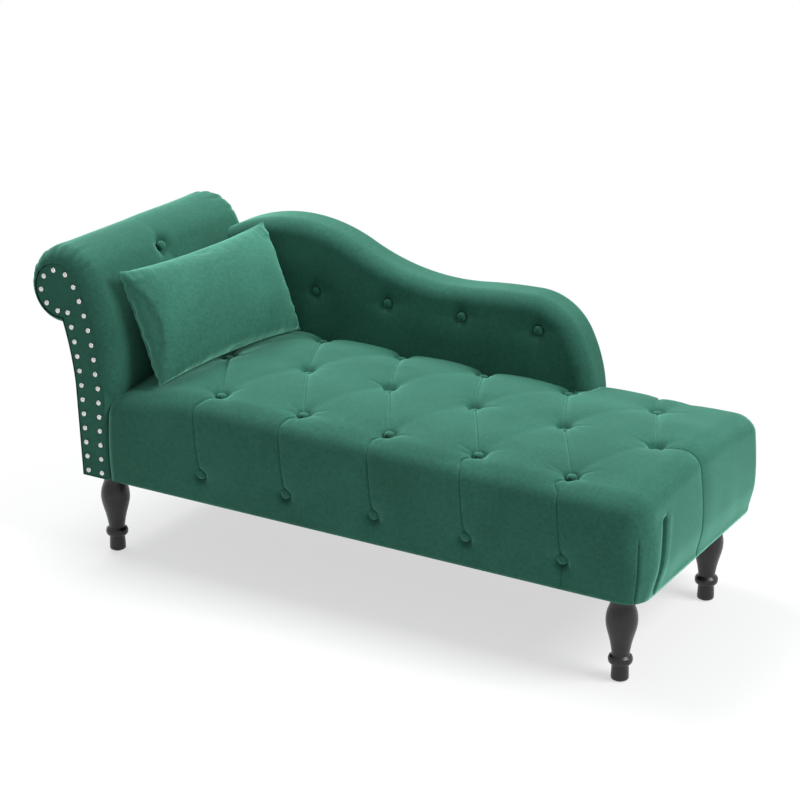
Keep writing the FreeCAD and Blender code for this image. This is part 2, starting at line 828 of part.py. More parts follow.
def pillow_form(grow):
    half_length = size("pillow_length") / 2 + grow
    half_height = size("pillow_height") / 2 + grow
    half_thick = size("pillow_thick") / 2 + grow
    seam = max(size("pillow_seam") / 2 + grow, size("pillow_thin_edge"))
    rings = [pillow_ring(share, half_length, half_height, half_thick, seam) for share in PILLOW_STATIONS]
    form = banded(rings)
    place = Vector(join_x + size("pillow_centre_from_join"), front_y + size("pillow_centre_from_front"),
                   size("pillow_centre_height"))
    form.Placement = Placement(place, Rotation(size("pillow_turn"), -size("pillow_lean"), size("pillow_roll")))
    return form


def pillow_dent():
    """The pillow presses the seat down by its own form and a little room."""
    return pillow_form(size("pillow_clearance"))


# Legs and fasteners


def leg_places():
    head_x = join_x - size("leg_head_setback")
    foot_leg_x = foot_x - size("leg_foot_inset")
    near_y = front_y + size("leg_front_inset")
    far_y = rear_y - size("leg_rear_inset")
    return {
        "front_head": (head_x, near_y),
        "rear_head": (head_x, far_y),
        "front_foot": (foot_leg_x, near_y),
        "rear_foot": (foot_leg_x, far_y),
    }


LEG_X = {"head": JOIN + " - Sizes.leg_head_setback", "foot": JOIN + " + Sizes.seat_length - Sizes.leg_foot_inset"}
LEG_Y = {"front": FRONT + " + Sizes.leg_front_inset", "rear": REAR + " - Sizes.leg_rear_inset"}


# Shares of the leg's turned profile
FOOT_TAPER = 0.93
RING_FLAT = 0.4
BULB_START_WIDTH = 0.8
BULB_START_DROP = 2.2
BULB_FLAT = 0.3
COLLAR_NECK = 0.86


def turned_leg(name, x_expression, y_expression):
    """A leg turned from one blank: collar, bulb, long taper, bead and foot."""
    top = size("leg_length")
    collar = size("leg_collar_dia") / 2
    bulb = size("leg_bulb_dia") / 2
    neck = size("leg_neck_dia") / 2
    ring = size("leg_ring_dia") / 2
    foot = size("leg_foot_dia") / 2
    ring_z = size("leg_ring_height")
    ring_half = size("leg_ring_half")
    bulb_z = size("leg_bulb_height")
    throat = size("leg_throat")
    collar_low = top - size("leg_collar_thick")
    outline = [
        (foot, size("glide_thick")),
        (foot * FOOT_TAPER, ring_z - ring_half),
        (ring, ring_z - ring_half * RING_FLAT),
        (ring, ring_z + ring_half * RING_FLAT),
        (neck, ring_z + ring_half),
        (bulb * BULB_START_WIDTH, bulb_z - throat * BULB_START_DROP),
        (bulb, bulb_z - throat * BULB_FLAT),
        (bulb, bulb_z + throat),
        (collar * COLLAR_NECK, collar_low - throat),
        (collar, collar_low),
        (collar, top),
    ]
    form = stacked(outline, size_count("leg_sides"), (0, 0, 0), (0, 0, 1))
    socket = upright(0, 0, top - size("leg_bolt_depth"), top + 1, size("bolt_dia"), BORE_SIDES)
    leg = finished(name, form.cut(socket))
    leg.setExpression("Placement.Base.x", x_expression)
    leg.setExpression("Placement.Base.y", y_expression)
    return leg


def upright(x, y, z0, z1, diameter, sides):
    """A standing bar with as many sides as asked, as wide across its flats as the diameter."""
    corner = diameter / 2 / math.cos(math.pi / sides)
    ring = [polar((x, y), corner, 360 * k / sides) for k in range(sides)]
    low = [Vector(px, py, z0) for px, py in ring]
    return Part.Face(Part.makePolygon(low + [low[0]])).extrude(Vector(0, 0, z1 - z0))


def across_y(solid, x, y, z, way):
    """The solid turned to lie along the width, at a place in the frame."""
    solid.Placement = Placement(Vector(x, y, z), Rotation(Vector(0, 0, 1), Vector(0, way, 0)))
    return solid


HEXAGON = 6
BORE_SIDES = 8


def bolt(x, z, head_y, far_y):
    """A hexagon bolt lying across the frame with its head on the inside."""
    way = 1 if far_y > head_y else -1
    head = upright(0, 0, -size("bolt_head_thick"), 0, size("bolt_head_dia"), HEXAGON)
    shank = upright(0, 0, 0, abs(far_y - head_y) - size("nut_cap"), size("bolt_dia"), BORE_SIDES)
    return across_y(head.fuse(shank), x, head_y, z, way)


def nut(x, z, head_y, far_y):
    """A hexagon nut let into the far board, flush with its face."""
    way = 1 if far_y > head_y else -1
    body = upright(0, 0, 0, size("bolt_head_thick"), size("bolt_head_dia"), HEXAGON)
    bore = upright(0, 0, -1, size("bolt_head_thick") - size("nut_cap"), size("bolt_dia"), BORE_SIDES)
    return across_y(body.cut(bore), x, far_y - way * size("bolt_head_thick"), z, way)


def bolt_hole(x, z, head_y, far_y):
    """Room for the shank and a pocket for the nut."""
    way = 1 if far_y > head_y else -1
    run = abs(far_y - head_y)
    shank = upright(0, 0, 0, run, size("bolt_dia"), BORE_SIDES)
    pocket = upright(0, 0, run - size("bolt_head_thick"), run + 1, size("bolt_head_dia"), HEXAGON)
    return across_y(shank.fuse(pocket), x, head_y, z, way)


def bolt_sites():
    """Each bolt's x and z, the y where its nut bears and the y of the board's far face."""
    above_blocks = size("rail_height") - size("corner_block_height")
    z_low = frame_top - above_blocks * 0.75
    z_high = frame_top - above_blocks * 0.25
    head_x = join_x - size("head_bolt_setback")
    sites = []
    for z in (z_low, z_high):
        sites.append((head_x, z, rail_front_y + size("rail_thick"), board_front_y))
        sites.append((head_x, z, rail_rear_y, rail_rear_out + size("board_thick")))
    return sites


def back_bolt_sites():
    z = size("frame_bottom") + size("rail_height") / 2
    start = join_x + size("corner_block") + size("board_inset")
    run = back_end_x() - start - size("corner_block")
    inner = rail_rear_y - size("board_thick")
    return [(start + run * share, z, inner, rail_rear_out + size("board_thick")) for share in (0, 0.5, 1)]


# Putting the pieces together

nodes = []


def keep(item):
    item.Label = item.Name
    nodes.append(item)
    return item


def keep_shape(name, shapes):
    shape = shapes[0] if len(shapes) == 1 else Part.makeCompound(shapes)
    return keep(finished(name, shape))


all_bolts = bolt_sites() + back_bolt_sites()
bolt_shapes = [bolt(*site) for site in all_bolts]
nut_shapes = [nut(*site) for site in all_bolts]

hanger_shapes = []
for x, y in leg_places().values():
    low = underside_z - size("leg_bolt_depth")
    high = size("frame_bottom") + size("hanger_reach")
    hanger_shapes.append(upright(x, y, low, high, size("bolt_dia"), BORE_SIDES))

holes = joined([bolt_hole(*site) for site in all_bolts] + hanger_shapes)

# Frame of the seat
LONG = "Sizes.seat_length + Sizes.rail_back_from_join - Sizes.padding"
RAIL_START = JOIN + " - Sizes.rail_back_from_join"
CROSS_Y = RAIL_FRONT + " + Sizes.rail_thick"
CROSS_RUN = "Sizes.seat_width - Sizes.headrest_short - 2 * Sizes.padding - 2 * Sizes.rail_thick"
rail_section = ("Sizes.rail_thick", "Sizes.rail_height")
front_rail = board("front_rail", (RAIL_START, RAIL_FRONT, "Sizes.frame_bottom"), (LONG,) + rail_section)
keep(cut_away("seat_front_rail", front_rail, holes))
rear_rail = board("rear_rail", (RAIL_START, RAIL_REAR, "Sizes.frame_bottom"), (LONG,) + rail_section)
keep(cut_away("seat_rear_rail", rear_rail, holes))
across = (CROSS_RUN, "Sizes.rail_height")
keep(board("head_rail", (RAIL_START, CROSS_Y, "Sizes.frame_bottom"), ("Sizes.rail_thick",) + across))
foot_start = JOIN + " + Sizes.seat_length - Sizes.padding - Sizes.rail_thick"
keep(board("foot_rail", (foot_start, CROSS_Y, "Sizes.frame_bottom"), ("Sizes.rail_thick",) + across))
stretcher_z = FRAME_TOP + " - Sizes.stretcher_height"
stretcher_run = CROSS_RUN + " - Sizes.board_thick"
for k in range(4):
    reach = f" + {k} * (Sizes.seat_length - Sizes.padding) / 4"
    place = (JOIN + reach, CROSS_Y, stretcher_z)
    run = CROSS_RUN if k == 3 else stretcher_run
    keep(board(f"cross_stretcher_{k + 1}", place, ("Sizes.rail_thick", run, "Sizes.stretcher_height")))


def corner_blocks():
    half = size("corner_block") / 2
    inner_front = rail_front_y + size("rail_thick")
    blocks = []
    for name, (x, y) in leg_places().items():
        y0, y1 = (inner_front, y + half) if "front" in name else (y - half, rail_rear_y)
        z0 = size("frame_bottom")
        x0 = x - half
        x1 = x + half
        if "head" in name:
            x0 = join_x - size("rail_back_from_join") + size("rail_thick")
            x1 = min(x1, join_x)
        else:
            x1 = min(x1, foot_x - size("padding") - size("rail_thick"))
        blocks.append(block(x0, x1, y0, y1, z0, z0 + size("corner_block_height")).cut(holes))
    return blocks


def leg_plates():
    half = size("leg_plate") / 2
    z0 = underside_z
    z1 = z0 + size("leg_plate_thick")
    return [block(x - half, x + half, y - half, y + half, z0, z1).cut(holes) for x, y in leg_places().values()]


def dust_cover():
    hem = size("dust_hem")
    z1 = size("frame_bottom")
    z0 = z1 - size("dust_thick")
    sheet_x0 = join_x - size("rail_back_from_join")
    cloth = block(sheet_x0, foot_x - size("padding") - hem, rail_front_y + hem, rail_rear_out - hem, z0, z1)
    half = size("leg_plate") / 2 + size("dust_thick")
    for x, y in leg_places().values():
        cloth = cloth.cut(block(x - half, x + half, y - half, y + half, z0 - 1, z1 + 1))
    return cloth


def seat_deck():
    deck = deck_area(frame_top, deck_top)
    return deck.cut(twine_posts(size("twine_hole"), frame_top - 1, deck_top + 1))


def button_twines():
    return twine_posts(size("twine_width"), frame_top, foam_top)


keep_shape("corner_blocks", corner_blocks())
keep_shape("leg_plates", leg_plates())
keep_shape("seat_deck", [seat_deck()])
keep_shape("seat_foam", [seat_foam()])
keep_shape("seat_cover", [seat_cover()])
keep_shape("seat_buttons", seat_buttons())
keep_shape("button_twines", button_twines())
keep_shape("front_buttons", [button((x, y + size("front_dimple_depth"), z), (0, -1, 0), size("seat_button_dia"))
                             for x, y, z in front_buttons()])
keep_shape("dust_cover", [dust_cover()])

# Headrest
board_rim = size("panel_rim") + size("board_behind_panel")
base = size("frame_bottom")
keep_shape("headrest_front_board", [scroll_slab(board_front_y, size("board_thick"), 0, board_rim, base).cut(holes)])
keep_shape("headrest_rear_board", [scroll_slab(rail_rear_out, size("board_thick"), 0, board_rim, base).cut(holes)])
batten_run = CROSS_RUN + " + 2 * Sizes.rail_thick"
batten_section = (batten_run, "Sizes.batten_depth")
batten_x = {
    "lower": (JOIN + " - Sizes.rail_back_from_join", FRAME_TOP),
    "middle": (JOIN + " - Sizes.panel_base_thick - Sizes.board_inset / 2",
               "Sizes.headrest_lower_button_height - Sizes.button_to_batten"),
    "roll": (JOIN + " - Sizes.panel_roll_setback - Sizes.rail_thick / 2",
             "Sizes.roll_height - Sizes.panel_roll_drop - Sizes.batten_depth / 2"),
}
battens = []
for word, (place_x, place_z) in batten_x.items():
    piece = board(f"headrest_{word}_batten", (place_x, RAIL_FRONT, place_z), ("Sizes.rail_thick",) + batten_section)
    battens.append(keep(piece))
doc.recompute()
foam = headrest_foam()
for piece in battens:
    foam = foam.cut(piece.Shape)
keep_shape("headrest_foam", [foam])
keep_shape("headrest_cover", [headrest_cover()])
panel_y = front_y + size("panel_recess")
keep_shape("scroll_panel", [scroll_slab(panel_y, size("panel_thick"), 0, size("panel_rim"), underside_z)])
rear_panel_y = rail_rear_out + size("board_thick")
keep_shape("headrest_rear_panel",
           [scroll_slab(rear_panel_y, size("panel_thick"), 0, size("panel_rim"), underside_z)])
keep_shape("nailheads", [nail(point) for point in nail_places()])
keep_shape("headrest_buttons", [
    button((p[0] - d[0] * size("headrest_dimple_depth"), p[1], p[2] - d[2] * size("headrest_dimple_depth")), d,
           size("headrest_button_dia")) for p, d in headrest_button_places()])

# Side back
keep_shape("back_front_board", [back_board(rail_rear_y - size("board_thick")).cut(holes)])
keep_shape("back_rear_board", [back_board(rail_rear_out).cut(holes)])
keep_shape("back_foam", [back_foam()])
keep_shape("back_cover", [back_cover()])
keep_shape("back_buttons", [button((x, y + size("back_dimple_depth"), z), (0, -1, 0), size("back_button_dia"))
                            for x, y, z in back_button_places()])


def back_spacers():
    """Upright blocks that hold the two boards of the side back apart above the rail."""
    blocks = []
    run = back_end_x() - join_x - 2 * size("corner_block")
    for k in range(4):
        x0 = join_x + size("corner_block") + k * run / 4
        z1 = size("back_spacer_top")
        blocks.append(block(x0, x0 + size("batten_depth"), rail_rear_y, rail_rear_out, frame_top, z1))
    return blocks


keep_shape("back_spacers", back_spacers())

# Fasteners
keep_shape("frame_bolts", bolt_shapes)
keep_shape("frame_nuts", nut_shapes)
keep_shape("leg_bolts", hanger_shapes)

# Legs
for name in leg_places():
    side, end = name.split("_")
    keep(turned_leg("leg_" + name, LEG_X[end], LEG_Y[side]))
keep_shape("leg_glides", [upright(x, y, 0, size("glide_thick"), size("glide_dia"), size_count("glide_sides"))
                          for x, y in leg_places().values()])

# Pillow
outer = pillow_form(0)
filling = pillow_form(-size("pillow_filling_gap"))
keep_shape("pillow_cover", [outer.cut(filling)])
keep_shape("pillow_filling", [filling])

doc.recompute()

for item in doc.Objects:
    if "Invalid" in item.State or "Error" in item.State:
        raise RuntimeError(f"{item.Name} failed to compute")

os.makedirs("parts", exist_ok=True)
for item in nodes:
    shape = item.Shape
    if shape.isNull() or not shape.isValid() or not shape.Solids:
        raise RuntimeError(f"{item.Label} has no valid solid")
    shape.exportStep(os.path.join("parts", item.Label + ".step"))
    print(item.Label, len(shape.Solids), round(shape.Volume / 1000, 1))
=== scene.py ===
# %% [markdown]
# # A buttoned velvet chaise longue
#
# One long seat with sixteen tufts, a headrest that rolls outward, a low side back with an S-shaped
# top line, four turned legs and a loose lumbar pillow. The frame is loaded first. Every piece below
# is placed by it, in metres: +X runs to the foot end, +Y to the side back, +Z up.

# %% Load the frame
import bpy, bmesh, json, math
import numpy as np
from mathutils import Matrix, Vector


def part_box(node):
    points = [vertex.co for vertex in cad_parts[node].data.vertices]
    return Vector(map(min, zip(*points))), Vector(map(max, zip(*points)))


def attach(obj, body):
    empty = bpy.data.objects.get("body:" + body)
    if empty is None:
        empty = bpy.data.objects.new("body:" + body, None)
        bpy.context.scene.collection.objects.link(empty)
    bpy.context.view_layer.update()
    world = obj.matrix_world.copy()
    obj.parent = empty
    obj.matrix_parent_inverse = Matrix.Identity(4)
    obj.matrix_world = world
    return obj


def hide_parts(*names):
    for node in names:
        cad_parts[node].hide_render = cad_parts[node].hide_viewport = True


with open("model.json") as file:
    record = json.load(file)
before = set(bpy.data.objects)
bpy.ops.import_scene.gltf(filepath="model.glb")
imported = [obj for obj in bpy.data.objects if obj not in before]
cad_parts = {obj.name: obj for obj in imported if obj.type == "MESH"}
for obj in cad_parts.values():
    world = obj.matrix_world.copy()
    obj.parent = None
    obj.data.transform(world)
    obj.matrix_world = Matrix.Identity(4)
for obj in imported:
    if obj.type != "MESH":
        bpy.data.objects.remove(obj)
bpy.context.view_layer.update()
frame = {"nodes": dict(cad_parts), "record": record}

# %% [markdown]
# The seat's box gives the lines that the rest hangs on: the join between headrest and seat, the
# front, the foot end, the rear and the underside. The front and the foot face belly out a little,
# so their flat part lies that much inside the box.

# %% Main lines
FRONT_BELLY = 0.005
FOOT_BELLY = 0.006
HEADREST_WIDTH = 0.585
SEAT_LENGTH = 1.281
SEAT_FALL = 0.022
seat_low, seat_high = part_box("seat_cover")
join = seat_low.x
foot = seat_high.x - FOOT_BELLY
front = seat_low.y + FRONT_BELLY
rear = seat_high.y
under = seat_low.z
head_rear = front + HEADREST_WIDTH
deck_fall = SEAT_FALL / SEAT_LENGTH
print("join", round(join, 4), "foot", round(foot, 4), "front", round(front, 4), "rear", round(rear, 4))


# %% [markdown]
# Small helpers: a soft step, a bell, and the distance from many points to one line. Cloth is shaped
# with these because each tuft, fold and seam is a soft bell laid along a point or a line.

# %% Shaping helpers
RIPPLE_WAVES = 7


def step(value, low, high):
    t = np.clip((value - low) / (high - low), 0, 1)
    return t * t * (3 - 2 * t)


def bell(distance, width, power=2.0):
    return np.exp(-(np.abs(distance) / width) ** power)


def along(points, start, end):
    """Distance from each point to a line, and how far along it lies, from 0 to 1."""
    start = np.array(start)
    run = np.array(end) - start
    share = np.clip(((points - start) @ run) / (run @ run), 0, 1)
    gap = np.linalg.norm(points - start - share[:, None] * run, axis=1)
    return gap, share


def valley(points, a, b, soft, soft_width, sharp=0.0, sharp_width=0.002, ends=0.45):
    """Soft groove between two places, with a narrow one along its middle."""
    gap, share = along(points, a, b)
    keep = ends + (1 - ends) * np.abs(2 * share - 1) ** 1.5
    return soft * keep * bell(gap, soft_width, 1.5) + sharp * bell(gap, sharp_width)


def pinch(gap, deep, narrow, narrow_share, wide, powers):
    """A button's pull on the cloth: a narrow pit inside a wide basin."""
    pit = narrow_share * bell(gap, narrow, powers[0])
    return deep * (pit + (1 - narrow_share) * bell(gap, wide, powers[1]))


def ripples(points, scale, seed):
    """Slow waves between about -1 and 1, the same on every run."""
    pick = np.random.default_rng(seed)
    total = np.zeros(len(points))
    for _ in range(RIPPLE_WAVES):
        way = pick.normal(size=3)
        way /= np.linalg.norm(way)
        pace = 2 * math.pi / scale * pick.uniform(0.6, 1.5)
        total += np.sin(points @ way * pace + pick.uniform(0, 6.28))
    return total / RIPPLE_WAVES


def read_points(mesh):
    flat = np.empty(len(mesh.vertices) * 3)
    mesh.vertices.foreach_get("co", flat)
    return flat.reshape(-1, 3)


def write_points(mesh, points):
    mesh.vertices.foreach_set("co", points.astype(np.float32).ravel())
    mesh.update()


def made(name, bm, smooth=True):
    """A finished bmesh becomes an object in the scene."""
    mesh = bpy.data.meshes.new(name)
    bmesh.ops.recalc_face_normals(bm, faces=bm.faces)
    bm.to_mesh(mesh)
    bm.free()
    obj = bpy.data.objects.new(name, mesh)
    bpy.context.scene.collection.objects.link(obj)
    mesh.polygons.foreach_set("use_smooth", [smooth] * len(mesh.polygons))
    return obj


def loft(name, rings, closed=True):
    """Skin over rings of points with the same count each."""
    bm = bmesh.new()
    rows = [[bm.verts.new(p) for p in ring] for ring in rings]
    count = len(rows[0])
    for low, high in zip(rows, rows[1:]):
        for k in range(count if closed else count - 1):
            after = (k + 1) % count
            bm.faces.new((low[k], low[after], high[after], high[k]))
    return made(name, bm)


def centres(node, reach):
    """Middle of each small solid in a node, such as each button or nail."""
    groups = []
    for p in read_points(frame["nodes"][node].data):
        for group in groups:
            if np.linalg.norm(group[0] - p) < reach:
                group.append(p)
                break
        else:
            groups.append([p])
    return [Vector((np.min(g, 0) + np.max(g, 0)) / 2) for g in groups]


tufts = centres("seat_buttons", 0.03)
front_knobs = centres("front_buttons", 0.03)
back_knobs = centres("back_buttons", 0.03)
head_knobs = centres("headrest_buttons", 0.035)
nails = centres("nailheads", 0.015)
print("tufts", len(tufts), "front", len(front_knobs), "back", len(back_knobs), "nails", len(nails))


# %% [markdown]
# ## Velvet
#
# Cut velvet stands up in a short pile. It is dark where it is seen end on and lighter where light
# grazes it, so the sheen does most of the work. Brushed pile also lies in slow patches that are a
# little lighter or darker, and a very fine grain keeps the colour from looking like paint. First
# come short ways to add a shader node with its values and to join nodes up.

# %% Shader helpers
def set_sockets(shader_node, **values):
    """Writes plain values on a node's sockets; an underscore stands for a blank in a socket's name."""
    for socket, value in values.items():
        shader_node.inputs[socket.replace("_", " ")].default_value = value


def add_node(owner, kind, **values):
    fresh = owner.node_tree.nodes.new("ShaderNode" + kind)
    set_sockets(fresh, **values)
    return fresh


def wire(owner, *runs):
    """Joins sockets, each run given as node, output, node, input."""
    for source, output, target, into in runs:
        owner.node_tree.links.new(source.outputs[output], target.inputs[into])


def two_tone(owner, dark, light, low, high):
    """A ramp from a darker to a lighter colour."""
    ramp = add_node(owner, "ValToRGB")
    for stop, place, colour in zip(ramp.color_ramp.elements, (low, high), (dark, light)):
        stop.position = place
        stop.color = (*colour, 1)
    return ramp


def multiplied(owner, share):
    blend = add_node(owner, "MixRGB", Fac=share)
    blend.blend_type = "MULTIPLY"
    return blend


def new_material(name):
    mat = bpy.data.materials.new(name)
    mat.use_nodes = True
    return mat, mat.node_tree.nodes["Principled BSDF"], add_node(mat, "TexCoord")


# %% [markdown]
# One function makes both velvets. The pillow's is a lighter green with more sheen.

# %% Velvet material
SHEEN_TINT = (0.34, 0.95, 0.72, 1)


def velvet(name, colour, sheen, patch_scale=5.0):
    mat, shader, where = new_material(name)
    set_sockets(shader, Roughness=0.85, Specular_IOR_Level=0.15, Sheen_Weight=sheen, Sheen_Roughness=0.42,
                Sheen_Tint=SHEEN_TINT)
    patches = add_node(mat, "TexNoise", Scale=patch_scale, Detail=5, Roughness=0.55, Distortion=0.6)
    grain = add_node(mat, "TexNoise", Scale=900, Detail=2)
    nap = add_node(mat, "TexNoise", Scale=130, Detail=7, Roughness=0.72, Distortion=0.3)
    ramp = two_tone(mat, [c * 0.86 for c in colour], [c * 1.14 for c in colour], 0.3, 0.72)
    fine = add_node(mat, "MapRange", From_Min=0.3, From_Max=0.7, To_Min=0.6, To_Max=1.25)
    brushed = add_node(mat, "MapRange", From_Min=0.32, From_Max=0.68, To_Min=0.80, To_Max=1.20)
    speck = multiplied(mat, 0.35)
    pile = multiplied(mat, 1.0)
    soft_bump = add_node(mat, "Bump", Strength=0.5, Distance=0.0007)
    bump = add_node(mat, "Bump", Strength=0.25, Distance=0.0006)
    wire(mat, (where, "Object", patches, "Vector"), (where, "Object", grain, "Vector"),
         (where, "Object", nap, "Vector"), (patches, "Fac", ramp, "Fac"), (ramp, "Color", speck, "Color1"),
         (grain, "Fac", fine, "Value"), (fine, "Result", speck, "Color2"), (nap, "Fac", brushed, "Value"),
         (speck, "Color", pile, "Color1"), (brushed, "Result", pile, "Color2"),
         (pile, "Color", shader, "Base Color"), (nap, "Fac", soft_bump, "Height"),
         (soft_bump, "Normal", bump, "Normal"), (grain, "Fac", bump, "Height"),
         (bump, "Normal", shader, "Normal"))
    return mat


green = velvet("green_velvet", (0.021, 0.100, 0.069), 0.62)
pillow_green = velvet("pillow_velvet", (0.034, 0.144, 0.103), 0.85, 7.0)


def dress(obj, material, body="chaise"):
    obj.data.materials.clear()
    obj.data.materials.append(material)
    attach(obj, body)
    return obj


# %% [markdown]
# The top line of the side back is a chain of arcs that flow into each other: over the crest, down
# the fall, through the valley, over a low hump and round the shoulder to the seat. It comes first,
# because the seat's cloth stops where the side back stands.

# %% Top line of the side back
CREST_HEIGHT = 0.685
CREST_PLACE = 0.155
BACK_BEGINS = 0.045
CREST_RADIUS = 0.390
VALLEY_RADIUS = 0.531
HUMP_RADIUS = 1.320
SHOULDER_RADIUS = 0.140
END_RADIUS = 0.330
STEEPEST_FALL = 26.5
HUMP_RISE = 6
SHOULDER_TURN = 62
END_TURN = 25
LEAST_STEPS = 6
BACK_STEPS = 260


def heading_of(degrees):
    """Cosine and sine of a direction."""
    return math.cos(math.radians(degrees)), math.sin(math.radians(degrees))


def top_line(count):
    """Points and outward directions along the top of the side back."""
    heading = math.degrees(math.asin((CREST_PLACE + BACK_BEGINS) / CREST_RADIUS))
    turns = [(CREST_RADIUS, -(heading + STEEPEST_FALL)), (VALLEY_RADIUS, STEEPEST_FALL + HUMP_RISE),
             (HUMP_RADIUS, -HUMP_RISE), (SHOULDER_RADIUS, -SHOULDER_TURN), (END_RADIUS, -END_TURN)]
    lengths = [radius * math.radians(abs(turn)) for radius, turn in turns]
    x = join - BACK_BEGINS
    z = CREST_HEIGHT - CREST_RADIUS * (1 - math.cos(math.radians(heading)))
    path = []
    for (radius, turn), length in zip(turns, lengths):
        signed = radius if turn > 0 else -radius
        cosine, sine = heading_of(heading)
        centre = (x - signed * sine, z + signed * cosine)
        steps = max(LEAST_STEPS, int(count * length / sum(lengths)))
        for k in range(steps):
            cosine, sine = heading_of(heading + turn * k / steps)
            path.append((centre[0] + signed * sine, centre[1] - signed * cosine, -sine, cosine))
        heading += turn
        cosine, sine = heading_of(heading)
        x = centre[0] + signed * sine
        z = centre[1] - signed * cosine
    path.append((x, z, -sine, cosine))
    return path


back_path = top_line(BACK_STEPS)
back_end = back_path[-1][0]
back_low, back_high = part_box("back_cover")
print("side back ends at", round(back_end, 4))


# %% [markdown]
# ## Seat
#
# The seat is one deep block of foam under velvet. It starts as a box with a grid on every side. The
# grid lines crowd together where the cloth is sharply shaped: along the seams, round the tufts, at
# the rounded edges and at the two pleats of the front foot corner. Elsewhere they are far apart,
# so the piece stays light. The cloth turns in under the seat by a narrow lip.

# %% Seat grid
EDGE = 0.05
SEAT_TOP = 0.444
TURN_IN = 0.03
PLEAT_FRONT = -0.010
PLEAT_FOOT = 0.085
PLEAT_LEAN = 0.16
PLEAT_MID = 0.095
tuft_rows = sorted(tufts, key=lambda p: (round(p.y, 2), p.x))
front_row, middle_row, rear_row = tuft_rows[:5], tuft_rows[5:11], tuft_rows[11:]
knob_row = sorted(front_knobs, key=lambda p: p.x)
foot_seam_y = middle_row[-1].y + 0.003


def crowded(low, high, spacing, *dense):
    """Grid places from low to high, closer together round each group of (places, reach, fine spacing)."""
    at = np.linspace(low, high, 4000)
    density = np.full(len(at), 1 / spacing)
    for places, reach, fine in dense:
        for place in places:
            density = np.maximum(density, bell(at - place, reach) / fine)
    total = np.concatenate([[0], np.cumsum((density[1:] + density[:-1]) / 2 * np.diff(at))])
    return np.interp(np.linspace(0, total[-1], int(total[-1]) + 1), total, at)


def grid_box(lines):
    """A box whose sides carry the given grid places along x, y and z."""
    bm = bmesh.new()
    bmesh.ops.create_cube(bm, size=1.0)
    for axis, places in enumerate(lines):
        crossing = [e for e in bm.edges if abs(e.verts[0].co[axis] - e.verts[1].co[axis]) > 0.9]
        bmesh.ops.subdivide_edges(bm, edges=crossing, cuts=len(places) - 2, use_grid_fill=True)
    for v in bm.verts:
        v.co = Vector([places[round((c + 0.5) * (len(places) - 1))] for c, places in zip(v.co, lines)])
    return bm


columns = [p.x for p in middle_row]
rows_y = [front_row[0].y, middle_row[0].y, rear_row[0].y]
x_lines = crowded(join, foot, 0.0066, (columns, 0.004, 0.0013), (columns, 0.03, 0.0040),
                  (columns, 0.018, 0.0026), ([foot + PLEAT_FRONT], 0.008, 0.0014),
                  ([foot - 0.02], 0.035, 0.0042))
y_lines = crowded(front, rear, 0.0068, (rows_y, 0.03, 0.0040), (rows_y, 0.018, 0.0026),
                  ([foot_seam_y], 0.004, 0.0013), ([front + PLEAT_FOOT], 0.009, 0.0012),
                  ([front + 0.02], 0.04, 0.0045), ([rear - 0.02], 0.03, 0.005))
z_lines = crowded(under, SEAT_TOP, 0.0075, ([knob_row[0].z], 0.019, 0.0026), ([SEAT_TOP - 0.02], 0.035, 0.0045))
block = grid_box((x_lines, y_lines, z_lines))
floor_faces = [f for f in block.faces if f.calc_center_median().z < under + 1e-5]
bmesh.ops.delete(block, geom=floor_faces, context="FACES")
rim = [e for e in block.edges if e.is_boundary]
turned = bmesh.ops.extrude_edge_only(block, edges=rim)["geom"]
for v in [g for g in turned if isinstance(g, bmesh.types.BMVert)]:
    v.co.x += TURN_IN * (v.co.x < join + 1e-5) - TURN_IN * (v.co.x > foot - 1e-5)
    v.co.y += TURN_IN * (v.co.y < front + 1e-5) - TURN_IN * (v.co.y > rear - 1e-5)
seat = made("seat", block)
flat = read_points(seat.data)
print("seat grid", len(x_lines), len(y_lines), len(z_lines), "points", len(flat))


# %% [markdown]
# Each grid point knows where it lies on the unrolled cloth, so a seam runs from a front button, up
# the face, over the edge, through a front tuft and on to the middle and rear tufts without a break.
# The grid is sheared to follow these seams. They lean towards the headrest at the top edge, as on
# the real seat, where the cloth was pulled that way before it was stapled.

# %% Seams on the unrolled cloth
SEAM_LEAN = -0.020
LAST_SEAM_INSET = 0.085
FOOT_BAND = 0.07
SMOOTHING = 23
top_side = flat[:, 2] > SEAT_TOP - 1e-5
front_side = (flat[:, 1] < front + 1e-5) & ~top_side
foot_side = (flat[:, 0] > foot - 1e-5) & ~top_side
rear_side = (flat[:, 1] > rear - 1e-5) & ~top_side
across = flat[:, 1] - front
across = np.where(front_side, flat[:, 2] - SEAT_TOP, across)
across = np.where(rear_side, rear - front, across)
knob_drop = knob_row[0].z - SEAT_TOP


def seam_path(k):
    """How one seam wanders: places across the cloth, and x at each."""
    buttoned = k < len(front_row)
    tuft_x = front_row[k].x if buttoned else foot - LAST_SEAM_INSET
    knob_x = knob_row[k].x if buttoned else foot - LAST_SEAM_INSET
    lean = SEAM_LEAN if buttoned else 0.0
    last_x = rear_row[k - 1].x if k > 0 else middle_row[0].x - 0.09
    stations = [under - SEAT_TOP, knob_drop, -0.09, -0.01, 0.03]
    stations += [row[0].y - front for row in (front_row, middle_row, rear_row)] + [rear - front]
    xs = [knob_x - 0.003, knob_x, knob_x + lean * 0.6, knob_x + lean, tuft_x + lean]
    xs += [tuft_x, middle_row[k].x, last_x, last_x - 0.045]
    fine = np.linspace(stations[0], stations[-1], 900)
    wander = np.interp(fine, stations, xs)
    window = np.hanning(SMOOTHING)
    padded = np.pad(wander, SMOOTHING // 2, mode="edge")
    return fine, np.convolve(padded, window / window.sum(), "valid")


